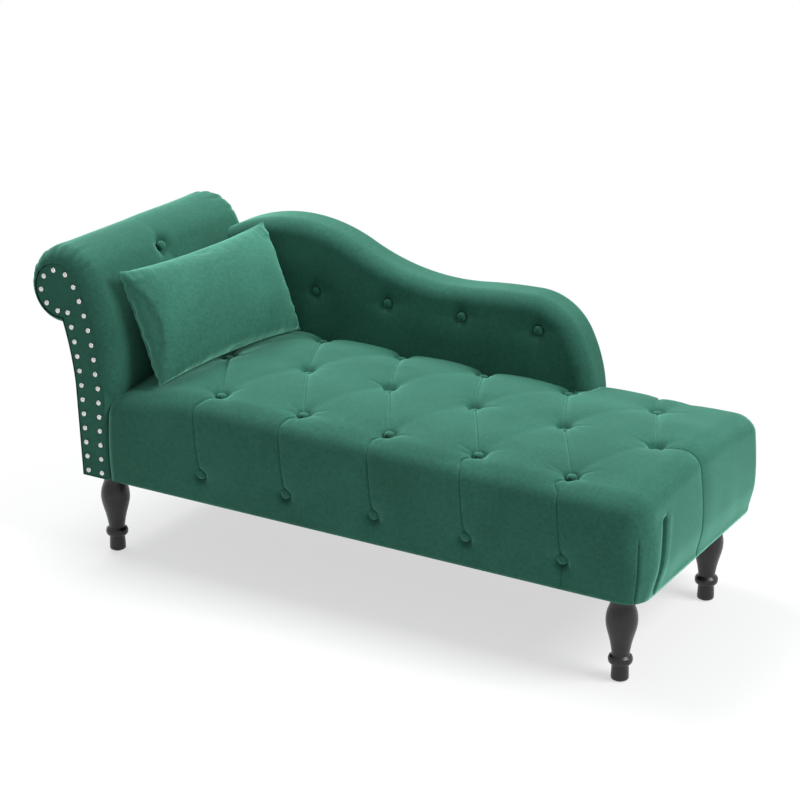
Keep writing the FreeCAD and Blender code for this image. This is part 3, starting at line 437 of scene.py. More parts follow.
seams = [seam_path(k) for k in range(len(middle_row))]
base = np.array([join] + columns + [foot - FOOT_BAND, foot])
targets = [np.full(len(flat), join)] + [np.interp(across, *seam) for seam in seams]
targets += [np.full(len(flat), foot - FOOT_BAND), np.full(len(flat), foot)]
targets = np.stack(targets, axis=1)
cell = np.clip(np.searchsorted(base, flat[:, 0], side="right") - 1, 0, len(base) - 2)
share = (flat[:, 0] - base[cell]) / (base[cell + 1] - base[cell])
pick = np.arange(len(flat))
sheared = targets[pick, cell] + share * (targets[pick, cell + 1] - targets[pick, cell])
flat[:, 0] = np.where(foot_side, flat[:, 0], sheared)
height = flat[:, 2] - under
slit_lean = PLEAT_LEAN * (height - PLEAT_MID) * (1 - step(height, 0.19, 0.25))
flat[:, 1] += foot_side * slit_lean * bell(flat[:, 1] - front - PLEAT_FOOT, 0.05)
print("seam drift", round(float(np.ptp(seams[2][1])), 4))


# %% [markdown]
# The tufts are drawn in by a narrow pinch inside a wide basin. Each seam is a narrow groove along
# the middle of a soft valley. The other diagonal of each diamond is only a soft, slightly bowed
# valley. Short creases start out from every tuft like the rays of a star and die away, because the
# cloth has to gather there.

# %% Creases round a button
def spot(p):
    """A button's place on the unrolled cloth."""
    return np.array((p.x, p.y - front))


def bowed(points, a, b, bow):
    """Distance to a slightly curved line from a to b, and the share of the way along it."""
    run = b - a
    length = np.linalg.norm(run)
    way = run / length
    along_it = (points - a) @ way
    t = np.clip(along_it / length, 0, 1)
    side = (points - a) @ np.array([-way[1], way[0]]) - bow * np.sin(t * math.pi)
    beyond = along_it - np.clip(along_it, 0, length)
    return np.hypot(side, beyond), t


def soft_valley(points, a, b, deep, width, bow=0.0, middle=0.5):
    gap, t = bowed(points, np.array(a), np.array(b), bow)
    held = middle + (1 - middle) * np.abs(2 * t - 1) ** 1.6
    return deep * held * bell(gap, width, 1.5)


def rays(points, centre, directions, deep, length, width):
    """Short creases that start at a button and fade."""
    total = np.zeros(len(points))
    for turn, strength in directions:
        tip = centre + length * np.array(heading_of(turn))
        gap, t = bowed(points, centre, tip, 0.003 * strength)
        total += deep * strength * (1 - t) ** 1.3 * bell(gap, width * (0.6 + 0.8 * t), 1.6)
    return total


# %% [markdown]
# Seams and valleys are added up as a depth for every grid point, first on the top and the front.

# %% Tufting
PINCH = 0.0255
PINCH_WIDTH = 0.0152
FRONT_PINCH = 0.0185
TUFT_REACH = 0.22
SEAM_WIDTH = 0.0017
VALLEY_WIDTH = 0.014
DIAGONAL = (0.0029, 0.013, 0.007, 0.35)
STAR = ((20, 0.8), (68, 0.5), (152, 0.9), (205, 0.6), (285, 1.0), (338, 0.7))
FRONT_STAR = ((100, 0.8), (35, 0.5), (160, 0.6), (215, 0.4), (320, 0.5))
cloth = np.stack([flat[:, 0], across], axis=1)
sink = np.zeros(len(flat))
basin = np.zeros(len(flat))
for index, tuft in enumerate(tufts):
    gap = np.linalg.norm(cloth - spot(tuft), axis=1)
    near = gap < TUFT_REACH
    basin = np.maximum(basin, pinch(gap, PINCH, PINCH_WIDTH, 0.52, 0.038, (3.6, 1.1)))
    star = [(turn + 23 * math.sin(index * 1.9 + turn), strength) for turn, strength in STAR]
    sink[near] += rays(cloth[near], spot(tuft), star, 0.0044, 0.068, 0.0044)
sink += basin


def seam_groove(k, stations, wander):
    """Depth of one seam: a sharp line with a lifted lip beside it, along a soft valley."""
    slope = np.gradient(wander, stations)
    upright_share = 1 / np.sqrt(1 + np.interp(across, stations, slope) ** 2)
    gap = (flat[:, 0] - np.interp(across, stations, wander)) * upright_share
    if k < len(front_row):
        begins = knob_drop - (0.0 if k < len(front_row) - 1 else 0.09)
        on_seam = step(across, begins - 0.008, begins + 0.004)
    else:
        last = spot(middle_row[-1])[1]
        on_seam = step(across, last - 0.02, last)
    sharp = 0.0030 * bell(gap, SEAM_WIDTH) + 0.0009 * bell(gap - 0.0045, 0.0025)
    sharp -= 0.0007 * bell(gap + 0.005, 0.003)
    soft = 0.0036 * bell(gap, VALLEY_WIDTH, 1.3) * (0.55 + 0.45 * step(across, -0.05, 0.05))
    return on_seam * ~foot_side * (sharp + soft)


for k, seam in enumerate(seams):
    sink += seam_groove(k, *seam)
for k, tuft in enumerate(front_row):
    sink += soft_valley(cloth, spot(tuft), spot(middle_row[k + 1]), *DIAGONAL)
for k, tuft in enumerate(rear_row):
    sink += soft_valley(cloth, spot(middle_row[k]), spot(tuft), *DIAGONAL)
    sink += soft_valley(cloth, spot(tuft), spot(tuft) + np.array((0.05, 0.10)), 0.0035, 0.018)
for knob in knob_row:
    centre = np.array((knob.x, knob_drop))
    gap = np.linalg.norm(cloth - centre, axis=1)
    drawn = pinch(gap, FRONT_PINCH, 0.0150, 0.47, 0.031, (4.0, 1.2))
    sink += (drawn + rays(cloth, centre, FRONT_STAR, 0.0022, 0.06, 0.005)) * front_side
print("deepest pull", round(float(sink.max()), 4))

# %% [markdown]
# The foot seam leaves the last middle tuft, crosses the edge and runs down the foot face. Two folded
# pleats take up the cloth at the front corner of the foot end: a short one on the front and a deep
# one on the foot face, both open downwards. The rear edge is held flat against the side back.

# %% Foot seam and pleats
FOOT_RUN = 0.26
OFF = -10.0
beyond = np.where(top_side, flat[:, 0] - foot, np.where(foot_side, SEAT_TOP - flat[:, 2], OFF))
end_cloth = np.stack([beyond, flat[:, 1]], axis=1)
seam_start = np.array((middle_row[-1].x - foot, middle_row[-1].y))
gap, _ = bowed(end_cloth, seam_start, np.array((FOOT_RUN, foot_seam_y)), 0.0)
fade = 1 - 0.6 * step(beyond, 0.0, 0.2)
sink += 0.0028 * bell(gap, SEAM_WIDTH) + 0.0032 * bell(gap, VALLEY_WIDTH, 1.3) * fade
sink += 0.0010 * ripples(flat, 0.12, 3) + 0.0014 * ripples(flat, 0.34, 4)
sink *= 1 - rear_side * step(SEAT_TOP - flat[:, 2], 0.0, 0.07)

corner = np.where(front_side, flat[:, 0] - foot, np.where(foot_side, flat[:, 1] - front, OFF))
tall = 1 - step(height, 0.150, 0.175)
gap = corner - PLEAT_FRONT
sink += tall * (0.0030 * bell(gap, 0.0022) - 0.0016 * bell(gap - 0.011, 0.008))
tall = 1 - step(height, 0.172, 0.190)
gap = corner - PLEAT_FOOT - slit_lean
deep = 0.0045 + 0.0075 * step(height, 0.02, 0.165)
sink += deep * tall * step(gap, -0.024, -0.002) * (1 - step(gap, -0.0010, 0.0016))
sink -= 0.0020 * tall * (bell(gap + 0.034, 0.014) + bell(gap - 0.012, 0.010))
print("pleats on", int((corner > OFF).sum()), "points")

# %% [markdown]
# Now the rounding pulls each point near an edge onto an arc, and the top is crowned, pressed down at
# the headrest and tapered to the foot end, as the solid is. The cloth is drawn in last, square to
# the rounded surface, and beside the side back it stays in front of it.

# %% Seat form
CROWN = 0.017
LEAST_CROWN = -0.004
PRESS = 0.046
BEHIND_BACK_FACE = 0.002
core = np.clip(flat, [join - 1, front + EDGE, under], [foot - EDGE, rear - EDGE, SEAT_TOP - EDGE])
way = flat - core
reach = np.linalg.norm(way, axis=1, keepdims=True)
way = np.divide(way, reach, out=np.zeros_like(way), where=reach > 1e-9)
shaped = core + way * np.minimum(reach, EDGE)
half = (rear - front) / 2 - EDGE
crown = CROWN * (1 - ((shaped[:, 1] - (front + rear) / 2) / half) ** 2)
press = PRESS * (1 - step(shaped[:, 0], join - 0.12, join + 0.23)) / (1 - step(0.0, -0.12, 0.23))
level = SEAT_TOP - CROWN - deck_fall * (shaped[:, 0] - join) + np.maximum(crown, LEAST_CROWN) - press
fresh = shaped.copy()
fresh[:, 2] = under + (shaped[:, 2] - under) * (level - under) / (SEAT_TOP - under)
belly = np.sin(np.clip((shaped[:, 2] - under) / (SEAT_TOP - EDGE - under), 0, 1) * math.pi)
low_tuck = 1 - step(shaped[:, 2], under, under + 0.08)
fresh[:, 1] -= FRONT_BELLY * belly * bell(way[:, 1] + 1, 0.5)
fresh[:, 0] += FOOT_BELLY * (belly - low_tuck) * bell(way[:, 0] - 1, 0.5)
hem_hold = step(flat[:, 2], under - 0.001, under + 0.015)
fresh -= way * (sink * hem_hold)[:, None]
beside_back = (flat[:, 0] < back_end) & (fresh[:, 1] > back_low.y + BEHIND_BACK_FACE)
fresh[beside_back, 1] = back_low.y + BEHIND_BACK_FACE
write_points(seat.data, fresh)


def surface_near(points, where):
    """Middle of the six points of a surface that lie nearest to a place."""
    gap = np.linalg.norm(points - np.array(where), axis=1)
    return points[np.argsort(gap)[:6]].mean(axis=0)


tuft_floor = [surface_near(fresh, (p.x, p.y, p.z - 0.004)) for p in tufts]
knob_floor = [surface_near(fresh, (p.x, p.y + 0.004, p.z)) for p in front_knobs]
print("tuft floor against button", [round(f[2] - p.z, 4) for f, p in zip(tuft_floor, tufts)])
print("knob floor against button", [round(f[1] - p.y, 4) for f, p in zip(knob_floor, front_knobs)])
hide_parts("seat_cover", "seat_foam")
dress(seat, green)


# %% [markdown]
# ## Scrolled headrest
#
# Seen from the front, the headrest is one line: up the outside, in under the roll, round the roll
# and down a face that bulges over the seat. The padding is full between the ends and turns in to
# the stiff end panels, so the same line is drawn at every depth, and "puff" says how full it is.
# Each pair below gives a measure at the stiff panel and in the full padding.

# %% Headrest outline
TILT = 27
ROLL_BEHIND_JOIN = (0.125, 0.117)
ROLL_HEIGHT = (0.607, 0.617)
ROLL_RADIUS = (0.061, 0.087)
OUTSIDE_BEHIND_JOIN = (0.080, 0.083)
NOTCH_BEHIND_JOIN = (0.117, 0.116)
FACE_PAST_JOIN = (-0.018, 0.018)
TUCK_BEHIND_JOIN = (0.013, 0)
FACE_DROP = (0, 0.034)
FACE_TURN_IN = (0, 0.004)
NECK_HEIGHT = 0.400


def arc(centre, radius, start, end, count):
    turns = np.radians(np.linspace(start, end, count))
    return [(centre[0] + radius * math.cos(t), centre[1] + radius * math.sin(t)) for t in turns]


def line(a, b, count):
    return [(a[0] + (b[0] - a[0]) * t, a[1] + (b[1] - a[1]) * t) for t in np.linspace(0, 1, count)]


def nearest_turn(angle, before):
    """The same direction, counted so that it lies within half a turn of the one before."""
    return before + (angle - before + math.pi) % math.tau - math.pi


def through(a, b, c, count):
    """Points on the arc from a through b to c."""
    ax, ay, bx, by, cx, cy = *a, *b, *c
    d = 2 * (ax * (by - cy) + bx * (cy - ay) + cx * (ay - by))
    aa, bb, cc = ax**2 + ay**2, bx**2 + by**2, cx**2 + cy**2
    ux = (aa * (by - cy) + bb * (cy - ay) + cc * (ay - by)) / d
    uy = (aa * (cx - bx) + bb * (ax - cx) + cc * (bx - ax)) / d
    t0, t1, t2 = [math.atan2(p[1] - uy, p[0] - ux) for p in (a, b, c)]
    t1 = nearest_turn(t1, t0)
    t2 = nearest_turn(t2, t1)
    return arc((ux, uy), math.hypot(ax - ux, ay - uy), math.degrees(t0), math.degrees(t2), count)


def scroll(puff, inset=0.0):
    """Closed outline of the headrest in x and z, from the foot of its outside, and the roll's circle."""
    def mix(pair):
        return pair[0] + puff * (pair[1] - pair[0])
    centre = (join - mix(ROLL_BEHIND_JOIN), mix(ROLL_HEIGHT))
    radius = mix(ROLL_RADIUS) - inset
    outer = join - mix(OUTSIDE_BEHIND_JOIN) + inset
    neck = (outer - 0.008, NECK_HEIGHT)
    notch_x = join - mix(NOTCH_BEHIND_JOIN) + inset
    notch_turn = -math.degrees(math.acos((notch_x - centre[0]) / radius))
    notch = arc(centre, radius, notch_turn, notch_turn, 1)[0]
    bow = ((neck[0] + notch[0]) / 2 + 0.004, (neck[1] + notch[1]) / 2)
    tangent = arc(centre, radius, TILT, TILT, 1)[0]
    cosine, sine = heading_of(TILT)
    face_x = join + mix(FACE_PAST_JOIN) - inset
    face_radius = (face_x - tangent[0]) / (1 - cosine)
    face_centre = (face_x - face_radius, tangent[1] - face_radius * sine)
    face_foot = (face_x - mix(FACE_TURN_IN), face_centre[1] - mix(FACE_DROP) - 0.0001)
    tuck = (join - mix(TUCK_BEHIND_JOIN) - inset, face_centre[1] - mix(FACE_DROP) - 0.016)
    points = line((outer, under), neck, 40)[:-1]
    points += through(neck, bow, notch, 24)[:-1]
    points += arc(centre, radius, notch_turn, -360 + TILT, 78)[:-1]
    points += arc(face_centre, face_radius, TILT, 0, 50)[:-1]
    points += line((face_x, face_centre[1]), face_foot, 6)[:-1]
    points += line(face_foot, tuck, 6)[:-1]
    points += line(tuck, (tuck[0], under), 28)[:-1]
    points += line((tuck[0], under), (outer, under), 16)[:-1]
    return points, centre, radius


# %% [markdown]
# The rings run from the front panel to the rear one. At both ends the padding turns in on a quarter
# round. The outward direction of every point and its place on the unrolled cloth are kept, because
# the creases are laid there.

# %% Headrest padding
END = 0.035
END_STEPS = range(0, 90, 9)
MIDDLE_RINGS = 106
ends = [(END * (1 - math.cos(math.radians(a))), math.sin(math.radians(a))) for a in END_STEPS]
middles = np.linspace(END, HEADREST_WIDTH - END, MIDDLE_RINGS)
stations = [(front + d, p) for d, p in ends] + [(front + d, 1.0) for d in middles]
stations += [(head_rear - d, p) for d, p in reversed(ends)]
rings = []
for y, puff in stations:
    outline, roll_centre, roll_radius = scroll(puff)
    rings.append([(x, y, z) for x, z in outline])
headrest = loft("headrest", rings)
points = read_points(headrest.data)
_, roll_centre, roll_radius = scroll(1.0)
puffs = np.repeat([p for _, p in stations], len(rings[0]))
depth = points[:, 1] - front

ring_points = points.reshape(len(rings), -1, 3)
tangent = (np.roll(ring_points, -1, axis=1) - np.roll(ring_points, 1, axis=1)).reshape(-1, 3)
outwards = np.stack([-tangent[:, 2], np.zeros(len(points)), tangent[:, 0]], axis=1)
outwards /= np.linalg.norm(outwards, axis=1, keepdims=True)
if outwards[np.argmax(points[:, 0])][0] < 0:
    outwards = -outwards

full = ring_points[len(ends) + 2]
travel = np.concatenate([[0], np.cumsum(np.linalg.norm(np.diff(full, axis=0), axis=1))])
roll_cloth = np.stack([np.tile(travel, len(rings)), points[:, 1]], axis=1)
print("headrest rings", len(rings), "round the outline", round(float(travel[-1]), 3))


# %% [markdown]
# One button is drawn into the roll and two lower ones sit behind the pillow, each with its creases.
# At both ends the cloth is gathered, so small pleats fan out round the roll. Each gather is given by
# its direction round the roll, its reach along it and how deep it is.

# %% Creases of the headrest
HIGH_CREASES = ((-0.16, 0.0), (0.17, -0.05), (0.16, 0.10), (-0.03, 0.09), (-0.03, -0.08))
GATHERS = ((38, 0.060, 0.8), (63, 0.085, 1.2), (84, 0.050, 0.7), (101, 0.095, 1.0),
           (124, 0.060, 0.8), (149, 0.075, 0.9), (173, 0.045, 0.6))
sink = np.zeros(len(points))


def place_on_roll(knob):
    nearest = int(np.argmin(np.linalg.norm(full[:, [0, 2]] - np.array([knob.x, knob.z]), axis=1)))
    return (travel[nearest], knob.y)


head_spots = sorted((place_on_roll(k) for k in head_knobs), key=lambda s: s[0])
for place in head_spots:
    gap = np.linalg.norm(roll_cloth - np.array(place), axis=1)
    sink = np.maximum(sink, pinch(gap, 0.0105, 0.018, 0.6, 0.055, (2.2, 1.4)))
high = head_spots[0]
for reach in HIGH_CREASES:
    tip = (high[0] + reach[0], high[1] + reach[1])
    fade = 1 - 0.85 * along(roll_cloth, high, tip)[1]
    sink += fade * valley(roll_cloth, high, tip, 0.0028, 0.013, 0.0010, ends=0.1)
for low in head_spots[1:]:
    sink += valley(roll_cloth, high, low, 0.0025, 0.016, 0.0008, ends=0.2)
around = np.arctan2(points[:, 2] - roll_centre[1], points[:, 0] - roll_centre[0])
near_end = np.minimum(depth, HEADREST_WIDTH - depth)
for turn, reach, deep in GATHERS:
    gap = (around - math.radians(turn) - 0.10 * near_end / 0.06) * roll_radius
    fade = (1 - step(near_end, 0.3 * reach, reach)) * step(near_end, -0.012, 0.010)
    sink += 0.0034 * deep * fade * (bell(gap, 0.0045) - 0.45 * bell(gap - 0.008, 0.006))
sink += 0.0010 * ripples(points, 0.20, 11) * step(puffs, 0.5, 1.0)
write_points(headrest.data, points - outwards * sink[:, None])
print("headrest pulled in up to", round(float(sink.max()), 4))
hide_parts("headrest_cover", "headrest_foam")
dress(headrest, green)


# %% [markdown]
# The end panels are stiff boards covered in the same velvet. They lie a little back inside the
# padding's rim, with a soft edge. The front one carries the nails.

# %% End panels
PANEL_INSET = 0.0008
PANEL_EDGE = 0.0016


def panel(name, node, faces_front):
    low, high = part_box(node)
    inner, outer = (high.y, low.y) if faces_front else (low.y, high.y)
    outline, _, _ = scroll(0.0, PANEL_INSET)
    bm = bmesh.new()
    face = bm.faces.new([bm.verts.new((x, inner, z)) for x, z in outline])
    moved = bmesh.ops.extrude_face_region(bm, geom=[face])["geom"]
    for g in moved:
        if isinstance(g, bmesh.types.BMVert):
            g.co.y += outer - inner
    bmesh.ops.recalc_face_normals(bm, faces=bm.faces)
    edges = [e for e in bm.edges if all(abs(v.co.y - outer) < 1e-5 for v in e.verts)]
    bmesh.ops.bevel(bm, geom=edges, offset=PANEL_EDGE, segments=3, profile=0.5, affect="EDGES", material=-1)
    obj = made(name, bm, smooth=False)
    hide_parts(node)
    print(name, "from", round(inner, 4), "to", round(outer, 4))
    return dress(obj, green)


panel("scroll_panel_velvet", "scroll_panel", True)
panel("headrest_rear_velvet", "headrest_rear_panel", False)


# %% [markdown]
# ## Nails and buttons
#
# Upholstery nails have a domed head of bright nickel with a slightly turned-in rim. Buttons are
# covered in the seat's velvet: a flat dome drawn tight over a disc. Both are profiles spun round
# their own axis and repeated where the frame has them.

# %% Turned forms
NAIL_STEPS = 20
BUTTON_STEPS = 24
TOWARDS_FRONT = (0, -1, 0)
UP = (0, 0, 1)
ROLL_BUTTON_FROM = 0.6


def spun(bm, profile, turns, matrix):
    """Spins a profile of (radius, height) pairs round the Z axis, then places it."""
    ring = [bm.verts.new((r, 0, h)) for r, h in profile]
    edges = [bm.edges.new(pair) for pair in zip(ring, ring[1:])]
    bmesh.ops.spin(bm, geom=ring + edges, angle=math.tau, steps=turns, axis=UP, cent=(0, 0, 0), use_merge=True)
    bmesh.ops.remove_doubles(bm, verts=[v for v in bm.verts if not v.tag], dist=1e-6)
    fresh = [v for v in bm.verts if not v.tag]
    bmesh.ops.transform(bm, matrix=matrix, verts=fresh)
    for v in fresh:
        v.tag = True


def facing_frame(place, way):
    return Matrix.Translation(place) @ Vector(way).to_track_quat("Z", "Y").to_matrix().to_4x4()


def repeated(name, node, profile, turns, sites):
    bm = bmesh.new()
    for place, way in sites:
        spun(bm, profile, turns, facing_frame(place, way))
    obj = made(name, bm)
    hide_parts(node)
    print(name, len(sites))
    return obj


def cover_button(radius):
    """Cloth drawn over a disc: upright sides, a soft shoulder and a low dome."""
    shape = ((0.86, -0.006), (0.98, -0.0035), (1, -0.0010), (0.985, 0.0014), (0.93, 0.0032),
             (0.80, 0.0046), (0.58, 0.0056), (0.3, 0.0062), (0, 0.0064))
    return [(radius * share, lift) for share, lift in shape]


nail_head = [(0.0060, 0.0), (0.0064, 0.0006), (0.0062, 0.0015), (0.0053, 0.0029), (0.0038, 0.0039),
             (0.0020, 0.0045), (0, 0.0047)]
nail_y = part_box("nailheads")[1].y
nail_sites = [((p.x, nail_y, p.z), TOWARDS_FRONT) for p in nails]
nail_set = repeated("nail_heads", "nailheads", nail_head, NAIL_STEPS, nail_sites)
seat_sites = [((p.x, p.y, floor[2] + 0.0012), UP) for p, floor in zip(tufts, tuft_floor)]
front_sites = [((p.x, floor[1] - 0.0034, p.z), TOWARDS_FRONT) for p, floor in zip(front_knobs, knob_floor)]
back_sites = [((p.x, p.y + 0.001, p.z), TOWARDS_FRONT) for p in back_knobs]
roll_way = (heading_of(TILT)[0], 0, heading_of(TILT)[1])
head_sites = []
for p in head_knobs:
    way = roll_way if p.z > ROLL_BUTTON_FROM else (0.995, 0, 0.1)
    head_sites.append(((p.x - way[0] * 0.001, p.y, p.z - way[2] * 0.001), way))
for name, node, radius, sites in (("seat_button_caps", "seat_buttons", 0.0103, seat_sites),
                                  ("front_button_caps", "front_buttons", 0.0112, front_sites),
                                  ("back_button_caps", "back_buttons", 0.0095, back_sites),
                                  ("headrest_button_caps", "headrest_buttons", 0.0105, head_sites)):
    dress(repeated(name, node, cover_button(radius), BUTTON_STEPS, sites), green)


# %% [markdown]
# ## Side back
#
# Each rib of the side back starts low on the front face, climbs to the rim, rounds over it and
# drops down the flat rear to the underside. A skin over all the ribs is the cover. Its front is a
# little puffed, drawn in at the four buttons, with short creases up, down and to both sides.

# %% Side back
FRONT_ROUND = 0.034
REAR_ROUND = 0.010
BACK_BASE = 0.330
ROOT_BEHIND_JOIN = 0.02
BACK_CREASES = ((0.0, 0.10), (0.0, -0.10), (0.075, 0.01), (-0.075, -0.01))


def back_rib(x, z, nx, nz, share):
    """One rib, from low on the front face over the rim to the underside at the rear."""
    root_x = join - ROOT_BEHIND_JOIN + (back_end - join + ROOT_BEHIND_JOIN) * share
    inner_x, inner_z = x - nx * FRONT_ROUND, z - nz * FRONT_ROUND
    rear_x, rear_z = x - nx * REAR_ROUND, z - nz * REAR_ROUND
    front_y, rear_y = back_low.y + FRONT_ROUND, back_high.y - REAR_ROUND
    foot_z = under + 0.001
    ring = []
    for t in np.linspace(0, 1, 52)[:-1]:
        ring.append((root_x + (inner_x - root_x) * t, back_low.y, BACK_BASE + (inner_z - BACK_BASE) * t))
    for a in np.radians(np.linspace(0, 90, 12)):
        off = FRONT_ROUND * (1 - math.sin(a))
        ring.append((x - nx * off, back_low.y + FRONT_ROUND * (1 - math.cos(a)), z - nz * off))
    for t in np.linspace(0, 1, 10)[1:-1]:
        ring.append((x, front_y + (rear_y - front_y) * t, z))
    for a in np.radians(np.linspace(90, 0, 6)):
        off = REAR_ROUND * (1 - math.sin(a))
        ring.append((x - nx * off, back_high.y - REAR_ROUND * (1 - math.cos(a)), z - nz * off))
    for t in np.linspace(0, 1, 34)[1:]:
        ring.append((rear_x + (root_x - rear_x) * t, back_high.y, rear_z + (foot_z - rear_z) * t))
    return ring


ribs = [back_rib(*place, k / (len(back_path) - 1)) for k, place in enumerate(back_path)]
side_back = loft("side_back", ribs, closed=False)
points = read_points(side_back.data)
frontness = np.clip((back_low.y + 0.03 - points[:, 1]) / 0.03, 0, 1)
face_cloth = points[:, [0, 2]]
line_points = np.array([place[:2] for place in back_path])[::6]
edge_gap = np.min(np.linalg.norm(face_cloth[:, None, :] - line_points, axis=2), axis=1)
sink = -0.006 * step(edge_gap, 0.02, 0.12) * frontness
for knob in back_knobs:
    place = (knob.x, knob.z)
    gap = np.linalg.norm(face_cloth - np.array(place), axis=1)
    sink += frontness * pinch(gap, 0.0125, 0.016, 0.62, 0.05, (2.2, 1.4))
    for reach in BACK_CREASES:
        tip = (knob.x + reach[0], knob.z + reach[1])
        fade = 1 - along(face_cloth, place, tip)[1]
        sink += frontness * fade * valley(face_cloth, place, tip, 0.0018, 0.010, 0.0004, ends=1.0)
sink += frontness * 0.0012 * ripples(points, 0.25, 21)
points[:, 1] += sink
write_points(side_back.data, points)
print("side back ribs", len(ribs), "of", len(ribs[0]), "points")
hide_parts("back_cover", "back_foam")
dress(side_back, green)


# %% [markdown]
# ## Turned legs
#
# Each leg is turned from one blank of beech and stained almost black: a collar under the rail, a
# vase, a long taper, a bead and a short foot. The profile is the turner's own pattern, as radius and
# height. The lacquer is satin, so the edges catch thin lights.

# %% Legs
LEG_STEPS = 48
leg_profile = [
    (0.0, 0.187), (0.0270, 0.187), (0.0285, 0.185), (0.0285, 0.180), (0.0270, 0.178), (0.0240, 0.176),
    (0.0236, 0.172), (0.0243, 0.167), (0.0268, 0.160), (0.0300, 0.151), (0.0320, 0.141), (0.0325, 0.131),
    (0.0318, 0.122), (0.0298, 0.112), (0.0268, 0.101), (0.0238, 0.090), (0.0213, 0.079), (0.0192, 0.067),
    (0.0180, 0.059), (0.0178, 0.0560), (0.0205, 0.0548), (0.0236, 0.0520), (0.0249, 0.0480), (0.0250, 0.0440),
    (0.0240, 0.0400), (0.0215, 0.0372), (0.0172, 0.0360), (0.0170, 0.0345), (0.0176, 0.0250), (0.0182, 0.0100),
    (0.0182, 0.0045), (0.0176, 0.0032), (0.0, 0.0030),
]


def lacquered_wood():
    mat, shader, where = new_material("dark_stained_wood")
    set_sockets(shader, Coat_Weight=0.25, Coat_Roughness=0.18, Specular_IOR_Level=0.35)
    squeeze = add_node(mat, "Mapping", Scale=(60, 60, 5))
    grain = add_node(mat, "TexNoise", Scale=4, Detail=6)
    ramp = two_tone(mat, (0.0065, 0.0052, 0.0060), (0.0140, 0.0108, 0.0125), 0.35, 0.75)
    rough = add_node(mat, "MapRange", To_Min=0.30, To_Max=0.46)
    wire(mat, (where, "Object", squeeze, "Vector"), (squeeze, "Vector", grain, "Vector"),
         (grain, "Fac", ramp, "Fac"), (ramp, "Color", shader, "Base Color"),
         (grain, "Fac", rough, "Value"), (rough, "Result", shader, "Roughness"))
    return mat


dark_wood = lacquered_wood()
for name in ("leg_front_head", "leg_rear_head", "leg_front_foot", "leg_rear_foot"):
    low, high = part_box(name)
    bm = bmesh.new()
    spun(bm, leg_profile, LEG_STEPS, Matrix.Translation(((low.x + high.x) / 2, (low.y + high.y) / 2, 0)))
    leg = made("turned_" + name, bm)
    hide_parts(name)
    dress(leg, dark_wood)
print("legs stand at", round(low.z, 4))


# %% [markdown]
# ## Lumbar pillow
#
# A pillow is two flat rectangles sewn round the edge and stuffed. It starts already filled out, and
# blowing it up a little as cloth gives what modelling by hand misses: the skin settles between the
# pointed corners. It is made lying at the origin, scaled to its real size and then leaned against
# the headrest.

# %% Pillow cloth
PILLOW = (0.445, 0.262, 0.138)
PILLOW_CENTRE = Vector((join + 0.098, front + 0.265, 0.546))
PILLOW_GRID = 0.0062
EDGE_CROWDING = 1.35
PRESSURE = 3.0
BLOW_FRAMES = 14
MOST_MOVE = 0.007


def crowded_to_edges(count):
    """Places from -1 to 1 that lie closer together towards both ends."""
    return np.sin(np.linspace(-1, 1, count) * EDGE_CROWDING) / math.sin(EDGE_CROWDING)


def pillow_point(u, w, side):
    """Where a point of the sheet lies once the pillow is stuffed."""
    full = (1 - abs(u) ** 3.0) * (1 - abs(w) ** 2.1)
    draw_x = 1 - 0.050 * (1 - w * w) ** 1.3
    draw_y = 1 - 0.055 * (1 - u * u) ** 1.2
    x, y = u * draw_x * PILLOW[0] / 2, w * draw_y * PILLOW[1] / 2
    return (x, y, side * PILLOW[2] / 2 * max(full, 0) ** 0.52)


def sewn_pillow(spacing):
    """Two sheets joined round their edge, in the plane of length and height."""
    nx, ny = int(PILLOW[0] / spacing), int(PILLOW[1] / spacing)
    bm = bmesh.new()
    grid = {}
    for side in (1, -1):
        for i, u in enumerate(crowded_to_edges(nx)):
            for j, w in enumerate(crowded_to_edges(ny)):
                edge = i in (0, nx - 1) or j in (0, ny - 1)
                if edge and side < 0:
                    grid[side, i, j] = grid[1, i, j]
                else:
                    grid[side, i, j] = bm.verts.new(pillow_point(u, w, side))
        for i in range(nx - 1):
            for j in range(ny - 1):
                bm.faces.new([grid[side, i + a, j + b] for a, b in ((0, 0), (1, 0), (1, 1), (0, 1))])
    return bm


def inflated(obj, pressure, frames, most):
    """Blows the closed cloth up for a few frames and keeps the result, no point moving too far."""
    start = read_points(obj.data)
    obj.modifiers.new("cloth", "CLOTH")
    cloth_settings = obj.modifiers["cloth"].settings
    cloth_settings.quality = 7
    cloth_settings.mass = 0.3
    cloth_settings.use_pressure = True
    cloth_settings.uniform_pressure_force = pressure
    cloth_settings.tension_stiffness = 30
    cloth_settings.compression_stiffness = 30
    cloth_settings.shear_stiffness = 20
    cloth_settings.bending_stiffness = 0.9
    cloth_settings.effector_weights.gravity = 0
    scene = bpy.context.scene
    for f in range(1, frames + 1):
        scene.frame_set(f)
    blown = obj.evaluated_get(bpy.context.evaluated_depsgraph_get()).to_mesh()
    move = read_points(blown) - start
    length = np.linalg.norm(move, axis=1, keepdims=True)
    print("cloth moved up to", round(float(length.max()), 4))
    obj.modifiers.clear()
    write_points(obj.data, start + move * np.minimum(1, most / np.maximum(length, 1e-9)))
    scene.frame_set(1)


pillow = made("lumbar_pillow", sewn_pillow(PILLOW_GRID))
flat_pillow = read_points(pillow.data)
inflated(pillow, PRESSURE, BLOW_FRAMES, MOST_MOVE)
p = read_points(pillow.data)
span = np.max(p, 0) - np.min(p, 0)
print("pillow as blown", np.round(span, 3))
p -= (np.max(p, 0) + np.min(p, 0)) / 2
p *= np.array(PILLOW) / span

# %% [markdown]
# Small puckers run in from the seam all the way round, and the seam itself stands out as a thin welt
# with a groove beside it. Before the pillow is leaned, its length is turned to +Y, its height to +Z
# and its thickness to +X.

